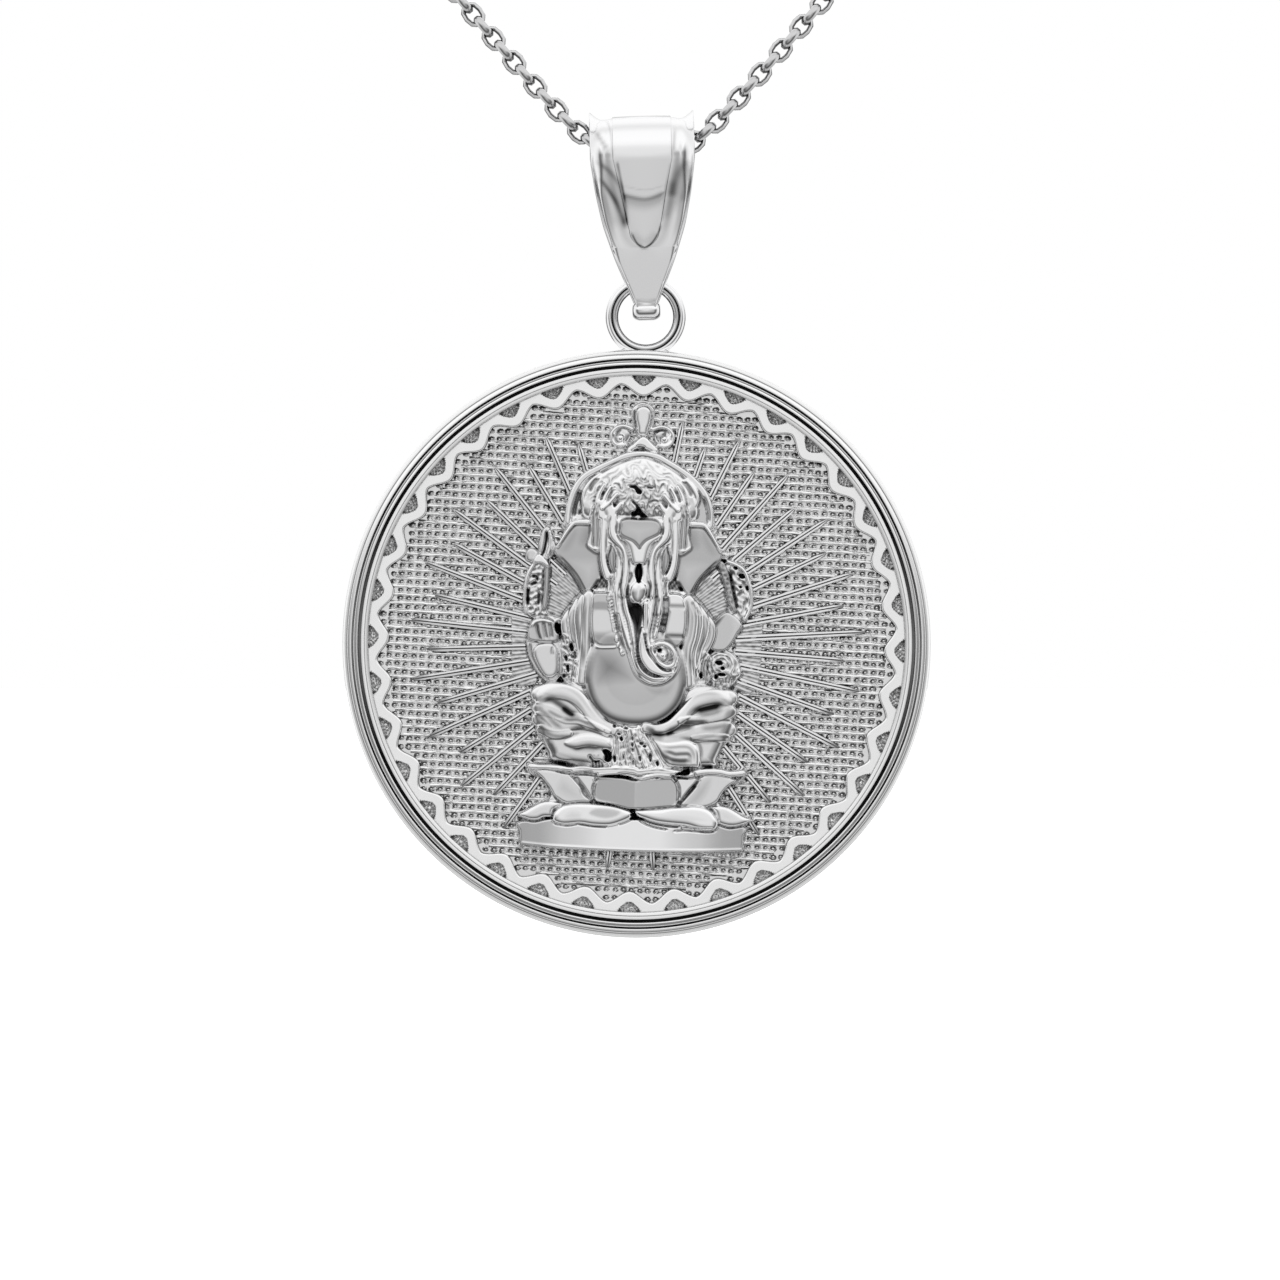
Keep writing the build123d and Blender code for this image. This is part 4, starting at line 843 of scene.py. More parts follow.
def sculpt_legs(r):
    """The crossed legs with the folds of their cloth."""
    left = [-11.4, -10, -15, -9, -19.4, -9.6, -21.6, -11.3, -22.5, -13.4, -22.5, -15.4, -21.9, -17.6,
            -21.1, -20.4, -20.2, -22.6, -19.1, -24.6, -17.2, -26.8, -5, -27.4, -4, -20, -6.6, -17.6,
            -9.6, -14]
    right = [11.6, -10, 15.4, -8.8, 19.4, -9.6, 21.5, -11.6, 22.4, -13.6, 22.3, -15.8, 21.5, -18.4,
             20.7, -20.6, 19.5, -23.4, 18.6, -25.4, 17.8, -27, 7, -27.6, 2.4, -20, 6.8, -17.4, 9.8, -14]
    r.slab(left, 1.44, 0.60, 0.34, dark=0.14)
    r.slab(right, 1.44, 0.60, 0.34, dark=0.14)
    for points, width, crest in (([-21.4, -12, -18.6, -11, -15, -11.4, -12.2, -13, -9.6, -16, -7, -18.4,
            -4.6, -19.4], (1.5, 1.1), (1.46, 1.72)),
            ([-21.6, -15, -18, -15.8, -15.4, -17, -12.4, -17.2, -9.2, -18.6, -6, -20], (1.1, 0.7),
             (1.44, 1.60)), ([-21.4, -17.4, -18, -18.6, -14.4, -18.4, -10.8, -18.4, -7.4, -19.4], (1.3, 0.7),
            (1.42, 1.56)), ([-20.8, -19.8, -17.6, -20.8, -14.6, -20.4], (0.9, 0.7), (1.38, 1.46)),
            ([21.2, -11.6, 17.6, -11.4, 14, -12.6, 11.2, -15.2, 8.2, -18, 5, -19, 2.6, -18.8], (1.4, 0.9),
             (1.46, 1.74)), ([21.6, -14.6, 18, -15.8, 14, -16.6, 10.6, -17], (1.0, 0.7), (1.44, 1.56)),
            ([21.2, -18.6, 17, -18.8, 13.2, -19.8, 9.6, -21, 5, -21], (1.3, 0.9), (1.42, 1.48)),
            ([20.6, -20.6, 16.8, -20.4, 13.4, -20.8], (0.7, 0.6), (1.40, 1.46))):
        r.cord(points, (width[0] * 1.3, width[1] * 1.2), (1.38, 1.43 + (crest[1] - 1.40) * 0.55), flat=0.30,
               blend=0.30, dark=0.06)
    r.shade([-22, -12, -20.6, -12, -18.6, -24, -17.6, -26.6, -19.4, -25, -21.6, -18], 0.14, 0.2)
    r.shade([22, -12, 20.4, -12, 18.4, -24, 17.2, -26.6, 19, -25, 21.4, -18], 0.14, 0.2)
    foot = [-15.5, -22.5, -14.1, -21.3, -11.3, -20.4, -8.5, -20.4, -5.7, -21.1, -4.7, -22.5, -4.9, -23.6,
            -8.5, -23.3, -10.2, -23.2, -13, -23.7, -15, -23.3]
    r.slab(foot, 1.52, 0.40, 0.22, blend=0.20)
    r.slab([-17.5, -21.8, -15.8, -23.3, -11.3, -24.1, -8.5, -24.1, -9.8, -26, -12.4, -26.6, -16.1, -26.6,
            -18, -25.2], 1.40, 0.2, 0.12, lean=(-0.03, 0), dark=0.36)
    r.slab([14.5, -21.9, 18.9, -21.6, 18.6, -24, 17.4, -26.2, 15, -26.2, 14.6, -24], 1.36, 0.25, 0.12,
           dark=0.16)
    r.slab([4.4, -21.4, 7.1, -21.8, 9.4, -21.6, 11.6, -21.3, 13.6, -21.9, 14.7, -23.6, 14.8, -26.8,
            13.4, -27.2, 8, -27, 5.6, -24.2], 1.58, 0.24, 0.16, blend=0.06)
    for points, width, depth, dark in (([-21.8, -13.5, -18.9, -13.1, -16.9, -14.1, -15.5, -15.2, -14.1, -16.2,
            -11.8, -16.6], 0.42, -0.20, 0.85), ([-16.4, -14.7, -14.8, -15.7, -13, -16.5], 0.50, -0.12, 0.45),
            ([-21.4, -15.5, -19.7, -16.6, -18, -18.3, -16, -19.6], 0.28, -0.10, 0.50),
            ([-21.8, -16.8, -20, -17.8, -18.4, -19.4], 0.20, -0.06, 0.35),
            ([-19.6, -15.4, -17.8, -16.4, -16, -17.1], 0.20, -0.07, 0.45),
            ([-16.9, -16.9, -14.7, -17.4, -12.4, -17.4, -10.2, -18.3, -9, -19.2], 0.26, -0.12, 0.80),
            ([-14.7, -19.5, -12.4, -19.2, -9.9, -19.5, -8, -19.9, -6.4, -20.9], 0.28, -0.12, 0.70),
            ([-20.6, -19.9, -18.3, -21.1, -16, -21.3, -14.4, -20.9], 0.30, -0.10, 0.45),
            ([-15.8, -21.8, -14, -20.9, -12, -20.3], 0.20, -0.06, 0.40),
            ([-21.2, -18, -20.2, -21, -18.8, -23.6], 0.22, -0.05, 0.35),
            ([-18.8, -22.6, -18, -24.4, -17.4, -25.4], 0.24, -0.08, 0.55),
            ([-14.6, -23.5, -13, -23.9, -10.8, -23.5, -8.5, -23.6, -6.6, -23.9], 0.20, -0.10, 0.85),
            ([-13.6, -24.2, -10.6, -24, -7.6, -24.2], 0.30, -0.03, 0.25),
            ([-17.6, -27, -12, -26.8, -9.6, -26.9], 0.30, -0.06, 0.55),
            ([-19, -10.6, -15.6, -10.4, -12.8, -11.8, -10.4, -14.6, -8.2, -17.2], 0.20, -0.03, 0.20),
            ([-21.2, -11.6, -18.4, -12.2, -15.4, -12.6, -12.8, -13.8, -10.6, -16.2], 0.22, -0.03, 0.20),
            ([12.4, -12, 15.4, -10.8, 19.4, -10.8], 0.22, -0.03, 0.20),
            ([11.8, -15.8, 13.8, -14.5, 17.2, -13.6, 20.9, -12.7], 0.42, -0.14, 0.70),
            ([13.4, -15.3, 16.4, -14.4, 19.6, -13.4], 0.75, -0.10, 0.60),
            ([20.8, -13.4, 18, -15, 14.4, -15.8], 0.24, -0.04, 0.30),
            ([10.2, -18, 11.6, -17.3, 13.8, -17.2, 16.8, -17.1], 0.30, -0.18, 0.85),
            ([7, -19.9, 9.4, -18.9, 11.2, -18.4, 13.8, -18.1], 0.48, -0.22, 0.85),
            ([2.4, -19.1, 3.5, -19, 4.4, -19.8, 5.5, -20.1, 7.4, -20, 9, -19.4], 0.34, -0.22, 0.85),
            ([2.4, -19.6, 4, -20.6, 7, -21], 0.55, -0.06, 0.45),
            ([14.6, -18.6, 17.6, -18.4, 20.6, -17.6], 0.34, -0.04, 0.35),
            ([12.6, -20.2, 16, -20.2, 19.4, -19.8], 0.30, -0.04, 0.25),
            ([13.4, -21.4, 16.4, -21.6, 19.6, -21], 0.24, -0.04, 0.35),
            ([10, -20.6, 13.6, -21.4, 14.9, -23, 15, -26.4], 0.22, -0.08, 0.55),
            ([5.6, -22.7, 8, -23, 10.6, -22.8, 12.4, -23, 13.4, -24.4, 13.7, -26.8], 0.18, -0.06, 0.50),
            ([6.3, -23.9, 8, -24.1, 9.4, -24.5, 11, -24.4, 12.4, -24.5, 12.9, -26], 0.24, -0.14, 0.95),
            ([6, -24.1, 8, -25.5, 10.2, -25.9, 12.2, -25.9, 13.1, -26.6], 0.28, -0.16, 1.0),
            ([4.8, -22.6, 6.4, -24.6, 8.2, -27.2], 0.20, -0.08, 0.50),
            ([7.8, -26.4, 10, -26.8, 12.6, -26.8], 0.50, -0.05, 0.45),
            ([14.8, -26.6, 16.4, -26.9, 18, -26.8], 0.30, -0.20, 1.0),
            ([22, -13, 22, -16, 21, -19, 19.6, -22.6, 18.4, -25.6], 0.20, -0.04, 0.35),
            ([-11, -10.6, -9.6, -14, -7, -17, -4.6, -18.4], 0.22, -0.06, 0.50),
            ([11.2, -10.6, 9.8, -14, 7, -17, 3.6, -18.4], 0.22, -0.06, 0.50)):
        r.line(points, width * 1.6, depth * 0.25, dark * 0.85, ends=0.22)
    r.shade([15, -17.6, 20.8, -16.4, 21.2, -18.8, 19.6, -19.4, 15.6, -19], 0.14, 0.3)
    r.shade([3.2, -20, 9, -21.6, 14, -21, 12, -19.4], 0.18, 0.3)


def sculpt_drape(r):
    """The fringe of cloth over the lap."""
    rng = random.Random(33)
    drape = [-4.9, -18.4, -2, -18.2, 1.5, -18.4, 2.3, -20.2, 4.3, -22.5, 7, -26, 8.2, -28, -4.8, -28,
             -4.6, -23]
    r.slab(drape, 1.42, 0.14, 0.12)
    for k in range(11):
        a = k / 10
        x0, x1 = -4.2 + 5.2 * a, -4.6 + 11 * a
        mid = (x0 + x1) / 2 + rng.uniform(-0.6, 0.6)
        r.cord([x0, -18.8 + rng.uniform(-0.4, 0.4), mid, -22.8, x1 + rng.uniform(-0.3, 0.3), -27.4],
               (0.40, 0.52), (rng.uniform(1.50, 1.60), rng.uniform(1.48, 1.62)), flat=0.3)
        r.line([x0 + 0.3, -19.6, mid + 0.4, -23, x1 + 0.5, -27], 0.12, -0.03, rng.uniform(0.1, 0.5), ends=0.3)
    r.mottle(drape, 0.014, 0.16, 0.8, 21, 0.1)
    for x, z, w, h in ((-4.4, -18.5, 0.4, 0.3), (-3.4, -20.2, 0.5, 0.3), (-2.8, -21.3, 0.35, 0.5),
            (-0.3, -21.2, 0.25, 0.6), (-0.3, -22.6, 0.25, 0.5), (-0.2, -23.8, 0.25, 0.5),
            (1.8, -22.2, 0.5, 0.35), (2.4, -22.8, 0.4, 0.3), (-1.8, -18.9, 0.5, 0.25), (3.8, -25.3, 0.4, 1.1),
            (5.4, -26.6, 0.35, 0.6), (-4.2, -25.8, 0.35, 0.8), (-2.2, -25.6, 0.2, 0.7), (0, -26.6, 0.2, 0.8),
            (1.5, -25.6, 0.25, 0.7)):
        r.hole(speck(x, z, w, h, (0.4, 0.2, 0.3, 0)), rng.uniform(0.2, 0.4), 0.05, dark=0.75)
    r.hole([-7, -23.9, -5.4, -24, -4.9, -25.6, -5.6, -26.6, -6.5, -26.1, -6.4, -25.2], 0.40, 0.12)
    r.dome(-8.3, -25.1, 1.5, 1.4, 1.46, 1.30, power=0.6, dark=0.15)
    r.line([-9.9, -25, -9.4, -26, -8.4, -26.6, -7.2, -26.2], 0.24, -0.14, 0.9)
    for k in range(4):
        r.line([-9.2 + 0.7 * k, -26.4, -8.9 + 0.7 * k, -27.6], 0.18, -0.12, 0.9, ends=0.1)


def sculpt_lotus(r):
    """The lotus seat: its body, petals, rim and leaves."""
    body = [-23.4, -27.8, -15, -27.4, 0, -27.6, 15, -27.4, 24.9, -27.8, 24.6, -29.8, 21.4, -31.6, 19.4, -34.8,
            17.8, -36.4, -15.4, -36.4, -18.2, -33.8, -20.6, -30.8, -22.8, -29.6]
    r.slab(body, 1.10, 0.14, 0.10, dark=0.16)
    r.slab([-22.4, -28.6, -14.1, -29.3, -13, -30.6, -11.6, -32.2, -10.8, -33.9, -8.9, -35.5, -11.3, -35.9,
            -14.7, -36.1, -16.4, -35.3, -18, -33.9, -19, -32.2, -20.4, -30.6], 1.34, 0.16, 0.10,
           lean=(-0.03, 0.02), dark=0.10)
    r.shade([-16, -30, -12.4, -32, -10, -35.4, -14, -35.8, -17.6, -33.4], 0.16, 0.6)
    r.slab([10.6, -35.9, 13.9, -31.7, 15.2, -29.3, 18.9, -28.4, 21.1, -29.1, 23.4, -29.9, 21.4, -31.4,
            20, -33.1, 19.2, -34.6, 17.6, -35.7, 15.4, -36.2], 1.36, 0.16, 0.10, lean=(0.03, 0.02), dark=0.12)
    r.shade([11.4, -35.6, 15.4, -30, 18, -29.4, 17.2, -33, 14.6, -36], 0.24, 0.5)
    r.slab([-13.4, -29.8, -7.7, -29.9, -8.5, -32, -8.9, -35.4, -9.9, -34.2, -11.3, -32.2], 1.24, 0.10, 0.08,
           dark=0.12)
    r.slab([10, -29.9, 14.4, -29.8, 12.6, -32.4, 10.4, -35], 1.26, 0.10, 0.08, dark=0.08)
    petal = [-7.6, -30, -8.5, -31.4, -8.8, -33.6, -8, -35.4, -4.3, -36.1, -1.8, -36.8, 0.3, -37, 2.1, -36.9,
             6.9, -36.8, 9.6, -36.1, 10.3, -34.2, 10.1, -31.4, 9.1, -30, 8, -29.6, 1.5, -30.2]
    r.slab(petal, 1.52, 0.12, 0.08, dark=0.30)
    idx, d = r.area(petal)
    r.h[idx] -= 0.07 * np.abs(r.x[idx] / UNIT - 0.6) * UNIT * np.clip(d / 0.1, 0, 1)
    # Painted shade on the petal's left half.
    r.dark[idx] += 0.10 * (r.x[idx] < 0.6 * UNIT) * np.clip(d / 0.15, 0, 1)
    r.line(petal + petal[:2], 0.13, -0.03, 0.22, ends=0)
    for points, width, dark in (([-14.3, -29.6, -13, -30.6, -11.6, -32.2, -10.8, -33.9, -9.4, -35,
            -8.6, -35.6], 0.17, 0.75), ([14.2, -31.3, 13, -32.8, 11.9, -34.2, 10.4, -35.8], 0.19, 0.85),
            ([-12.8, -30, -11, -32.2, -9.2, -34.8], 0.16, 0.35),
            ([-7.8, -30.2, -8.8, -32, -8.8, -34.4], 0.13, 0.3),
            ([9.4, -30, 10.4, -31.8, 10.5, -34.6], 0.13, 0.3),
            ([-22.4, -29, -20.2, -30.8, -18.6, -32.8, -16.8, -35.2, -14.6, -36.2], 0.20, 0.45),
            ([23.6, -30, 21.2, -31.8, 19.6, -34.4, 17.4, -36], 0.18, 0.4),
            ([15, -30, 13.2, -32, 11, -34.8], 0.15, 0.3)):
        r.line(points, width, -0.10, dark, ends=0.06)
    r.line([-21.6, -29.9, -19.7, -31.2, -18.2, -33.4, -16.6, -35], 0.20, 0.05, -0.2)
    top = [-23, -28, -19.7, -27.9, -16.9, -28.1, -14.1, -28.6, -11.3, -28.2, -8.5, -28.5, -5.7, -28.3,
           -2.9, -28.2, 0, -28.3, 1.3, -28.7, 4.1, -28.3, 6.3, -28.2, 9, -28.5, 12.6, -28.9, 14.6, -28.4,
           16.6, -28.1, 19.4, -28.1, 21.7, -28.5, 24.6, -28.2]
    r.cord(top, 0.66, 1.62, flat=0.5)
    r.line(top[6:-12], 0.16, -0.05, 0.35, ends=0.1)
    r.cord([-7.6, -29.4, -4, -29, -1, -29.2, 1.4, -29.9, 5.4, -29.2, 8.2, -29.3], 0.42, 1.60, flat=0.5)
    for points, width, dark in (([-7.6, -29.9, -4.3, -29.6, -1.8, -29.9, -0.1, -30.4, 1.8, -30.4], 0.17, 0.9),
            ([-3.6, -29.3, -1.3, -29.1, 1, -29.6, 2.6, -29.5], 0.18, 0.8),
            ([9.7, -29.6, 12.7, -29.7], 0.20, 0.9), ([-16, -28.8, -13.6, -28.9], 0.2, 0.6),
            ([-11, -28.9, -9, -29], 0.2, 0.5), ([-17.6, -28.6, -15.6, -29.2, -13.4, -29.4], 0.16, 0.4),
            ([22, -29, 23.4, -29.8, 24.4, -28.8], 0.18, 0.5),
            ([-22.6, -27.4, -12, -27.3, -8, -27.5], 0.3, 0.35)):
        r.line(points, width, -0.12, dark, ends=0.1)
    r.hole([9.4, -28.9, 10.8, -28.3, 12, -27.7, 12.7, -28.3, 12.2, -29, 10.4, -29.1], 0.60, 0.06)
    r.line([12.8, -27.8, 13.8, -28.8, 13.4, -29.4], 0.18, -0.1, 0.8)
    leaves = [([-25.3, -38.9, -23.4, -37.6, -20.8, -36.1, -18.9, -35.6, -16.4, -35.8, -15.2, -36.3,
                -17.2, -37.6, -17.8, -39.2, -19.7, -39.4, -21.1, -40, -23.4, -40], 1.24, 0.30, 0.20),
              ([17.8, -35.9, 20.8, -35.7, 23.1, -36.7, 25, -37.8, 27.3, -38.7, 26.2, -39.3, 23.9, -40.2,
                21.4, -40.3, 19.2, -39.5, 18.6, -37.4], 1.24, 0.30, 0.20),
              ([-17.7, -39.8, -17.3, -38.1, -15.8, -36.7, -13.6, -36, -10.2, -35.9, -7.4, -36, -4.3, -36.3,
                -1.8, -36.9, -0.3, -37.5, 0.1, -38.4, -0.5, -39.2, -2.9, -40.3, -5.2, -40.9, -8.5, -40.9,
                -11.3, -40.6, -15.2, -40.9, -16.9, -40.5], 1.54, 0.34, 0.20),
              ([0.7, -37.3, 2.7, -36.9, 6.3, -36.8, 9.1, -36.2, 13.3, -35.9, 15.8, -36.1, 17.8, -37,
                19.2, -38.7, 19.3, -40.2, 18.2, -41.3, 15.5, -41.2, 12.4, -40.4, 8.3, -40.1, 5.5, -39.8,
                3.2, -39.2, 1.3, -38.5], 1.58, 0.34, 0.20)]
    for outline, height, edge, fall in leaves:
        r.slab(outline, height, edge, fall)
    r.shade(leaves[0][0], 0.18, 0.5)
    r.shade(leaves[1][0], 0.12, 0.5)
    r.shade([-9.7, -38.4, -8.5, -36.9, -5.7, -36.6, -3.2, -36.9, -2.2, -37.6, -3.5, -38.9, -6.3, -39.4], 0.30,
            0.14)
    r.shade([-15.4, -38.8, -13.4, -37.4, -11, -38, -11.4, -39.8, -14.6, -40], 0.14, 0.3)
    r.shade([4, -38.4, 12, -37.8, 17.4, -39, 12, -39.6, 6, -39.2], 0.16, 0.3)
    for points, width, dark in (([-12.4, -40.5, -10.8, -40.7, -8.5, -41, -5.2, -41.1], 0.18, 0.8),
            ([-17.4, -40.6, -14.6, -41, -12, -40.6], 0.16, 0.4),
            ([1.5, -38.9, 3.2, -39.6, 5.5, -40.2, 8.3, -40.6, 11, -40.7], 0.20, 1.0),
            ([1.5, -39.3, 3.2, -40.3, 5.5, -41, 8.2, -41.4], 0.16, 0.8),
            ([9.4, -41.7, 12.4, -41.4, 16.6, -41.6, 19, -41.3], 0.17, 0.6),
            ([11, -40.9, 14, -40.9, 18.4, -40.8], 0.15, 0.4),
            ([-3, -40.5, -1.2, -39.9, 0.2, -39], 0.17, 0.45),
            ([-24.6, -39.6, -22, -40.3, -19.6, -39.8, -17.9, -39.4], 0.20, 0.5),
            ([-15.4, -36.4, -12, -35.8, -8.4, -35.8, -4.4, -36.2, -0.4, -37.2], 0.17, 0.45),
            ([0.8, -37.1, 4, -36.8, 9.6, -36.2, 13, -35.9], 0.17, 0.4),
            ([19.3, -39.9, 22, -40.6, 25, -40], 0.18, 0.45), ([-17.4, -37.4, -18, -39.4], 0.2, 0.5),
            ([18.2, -37.2, 19.5, -39.2], 0.18, 0.4)):
        r.line(points, width, -0.12, dark, ends=0.08)
    r.hole([-0.4, -38.2, 0.3, -38.0, 0.9, -38.1, 0.6, -38.4, -0.1, -38.5], 0.35, 0.06)


def sculpt_base(r):
    """The plinth, which falls back to both sides, with painted shade towards its ends."""
    r.slab([-24.7, -40.4, -25, -42.6, -24.8, -44.9, -24.2, -45.6, -20, -45.9, -16.9, -46.2, 0, -46.5,
            13.8, -46.3, 24.4, -45.9, 25, -45, 25.1, -42.6, 24.8, -40.2, 12, -39.4, -12, -39.4], 1.34, 0.08,
           0.07)
    idx = np.nonzero((r.z < -39.3 * UNIT) & (r.h > 0.9))[0]
    out = np.abs(r.x[idx]) / (25 * UNIT)
    r.h[idx] -= 0.42 * np.clip((out - 0.25) / 0.75, 0, 1) ** 1.6
    r.dark[idx] += 0.26 * np.clip((out - 0.62) / 0.2, 0, 1)
    r.line([-24.4, -45.2, -16.9, -45.7, 0, -46, 13.8, -45.9, 24.6, -45.4], 0.20, 0.03, -0.1, ends=0)


def sculpt_finial(r):
    """The finial on the hood, with its two loops and chevron."""
    r.slab([-2.7, 51.8, -2, 53.3, 0, 54.2, 2.1, 53.3, 2.7, 51.6, 2.4, 49.2, 1.5, 47.4, 0.9, 46.4, -1, 46.4,
            -1.6, 48, -2.3, 49.6], 0.46, 0.10, 0.08)
    r.slab([-1.6, 51.8, -1.2, 52.8, 0.1, 53.3, 1.4, 52.8, 1.9, 51.6, 1.8, 49.8, 1.3, 48.2, 1, 47, -0.9, 47,
            -1.2, 48.6, -1.6, 50.2], 0.66, 0.20, 0.12, dark=0.08)
    r.line([-1.8, 52.4, -1.95, 51, -1.75, 49.6, -1.4, 48], 0.20, -0.08, 0.85, ends=0.08)
    r.line([-1.4, 53, 0.1, 53.6, 1.6, 53, 2.2, 51.4, 2, 49.6, 1.5, 48.2], 0.15, -0.05, 0.55, ends=0.06)
    for side in (-1, 1):
        r.dome(side * 4.9, 46.6, 2.4, 2.3, 0.36, 0.12, power=0.4, dark=0.16)
        r.cord(sided(side, [2.3, 48.1, 3.9, 48.7, 5.5, 48.5, 6.7, 47.4, 6.9, 46.2, 6.4, 45, 5.2, 44.4,
                     3.6, 44.6]), 0.42, 0.48, flat=0.5)
        r.cord(sided(side, [6.2, 46.8, 5.8, 45.2, 4.4, 44.9]), 0.30, 0.44, flat=0.5)
        r.dome(side * 4.9, 46.0, 1.0, 1.0, 0.56, 0.25)
    r.line([2.5, 47.1, 3.6, 47.9, 4.8, 48, 5.2, 47.4, 4.4, 46.6, 3.6, 45.8], 0.18, -0.10, 0.8)
    r.line([-4.6, 47.8, -5.4, 47.3, -6, 46.2, -5.8, 45.2, -5, 44.8], 0.18, -0.09, 0.7)
    chevron = [-3.4, 43, -3.1, 43.9, -2, 44.8, -0.9, 45.9, 0.1, 46.5, 1.1, 46.2, 2.2, 45.1, 3.4, 44,
               3.7, 43.1, 2.7, 42.8, 1.1, 43.5, -0.2, 43.9, -1.7, 43.4, -2.6, 42.7]
    r.slab([-3.3, 42.4, -3, 43.8, 0.1, 46.4, 3, 43.9, 3.6, 42.6], 0.52, 0.1, 0.06, dark=0.4)
    r.slab(chevron, 0.72, 0.16, 0.10)
    r.line([-1.1, 44.1, -0.3, 44.2, 0.6, 43.9], 0.24, -0.14, 1.0, ends=0.05)
    r.line([-2.6, 42.9, -1.6, 43.3, 0, 43.6, 1.4, 43.4, 2.6, 42.9], 0.2, -0.04, 0.35)


def figure_relief(x, z):
    """The whole relief figure over the field, in the order in which its forms lie on each other. Its greys
    and black lines are painted shade, form by form.
    """
    r = Relief(x, z)
    for sculpt in (sculpt_hatch, sculpt_finial, sculpt_hood, sculpt_ears, sculpt_left_arms, sculpt_right_arms,
                   sculpt_torso, sculpt_hair, sculpt_head, sculpt_base, sculpt_lotus, sculpt_legs,
                   sculpt_drape, sculpt_trunk):
        sculpt(r)
    return r


# ---- medallion ----

DISC_R = 16.0
PLATE_BACK = -0.95
RIM_BACK = -1.10
RIM_STEPS = 288

# Rim and plate, from the middle of the back round to the middle of the front:
# radius, height, and the painted shade of the metal
RIM_PROFILE = [(0.0, PLATE_BACK), (14.40, PLATE_BACK), (14.52, RIM_BACK), (15.76, RIM_BACK), (15.93, -1.03),
               (16.0, -0.88), (16.0, 0.62), (15.985, 0.72), (15.94, 0.79), (15.88, 0.83), (15.80, 0.84),
               (15.775, 0.82, 0.55), (15.755, 0.82, 0.6), (15.74, 0.86, 0.1), (15.70, 0.91), (15.63, 0.94),
               (15.55, 0.945), (15.515, 0.92, 0.3), (15.505, 0.80, 1.0), (15.43, 0.80, 1.0),
               (15.42, 0.92, 0.3), (15.40, 0.95), (15.375, 0.95, 0.1), (15.35, 0.93, 0.65),
               (15.325, 0.93, 0.65), (15.30, 0.97), (15.24, 0.99), (15.18, 0.98), (15.165, 0.95, 0.4),
               (15.155, 0.45, 1.0), (15.02, 0.45, 1.0), (15.01, 0.93, 0.4), (14.99, 0.975), (14.92, 0.985),
               (14.83, 0.98), (14.815, 0.955, 0.5), (14.795, 0.955, 0.5), (14.78, 0.98), (14.68, 0.975),
               (14.63, 0.96), (14.605, 0.92, 0.35), (14.59, 0.50, 0.55), (14.575, 0.30, 0.4),
               (14.44, 0.05, 0.2), (14.40, -0.05, 0.14), (0.0, -0.05, 0.14)]


def rim_shade(turn):
    """The painted shade in the grooves is darkest above and below, and lighter at both sides."""
    return 0.75 + 0.25 * min(1.0, abs(math.sin(turn)) * 2.4)


def make_plate():
    """The flat plate with its stepped and grooved rim."""
    bm = bmesh.new()
    turned_profile(bm, RIM_PROFILE, RIM_STEPS, rim_shade)
    put("medallion_plate", bm, MEDALLION_PLACE, "medallion", "flange", "medallion", 24)


RIBBON_MEAN = 14.185
RIBBON_SWING = 0.33
RIBBON_TOP = 0.50
RIBBON_OUTER = 14.585
RIBBON_FOOT = -0.30
RIBBON_AROUND = 1440
RIBBON_ACROSS = 30
RIBBON_EDGE = 0.09          # width of the rounded inner edge
EDGE_STEPS = [-0.07, -0.035, 0.0, 0.012, 0.03, 0.055, RIBBON_EDGE]
PIT_LINE = 14.575           # a pit's straight side, along the rim
PIT_TALL = 0.53             # from there to the pit's tip
PIT_HALF = 0.58             # half the pit's width along the rim
PIT_DEPTH = 0.30


def ribbon_inner(theta):
    """Inner edge of the wavy ribbon: round lobes inwards, slightly narrower ones outwards."""
    phase = bpy.context.scene.necklace_sizes.ribbon_waves * (theta - math.pi / 2)
    wave = 0.22 * (1 - 2 * np.abs(np.cos(phase / 2))) - 0.78 * np.cos(phase)
    return RIBBON_MEAN - mm("ribbon_width") / 2 + RIBBON_SWING * wave


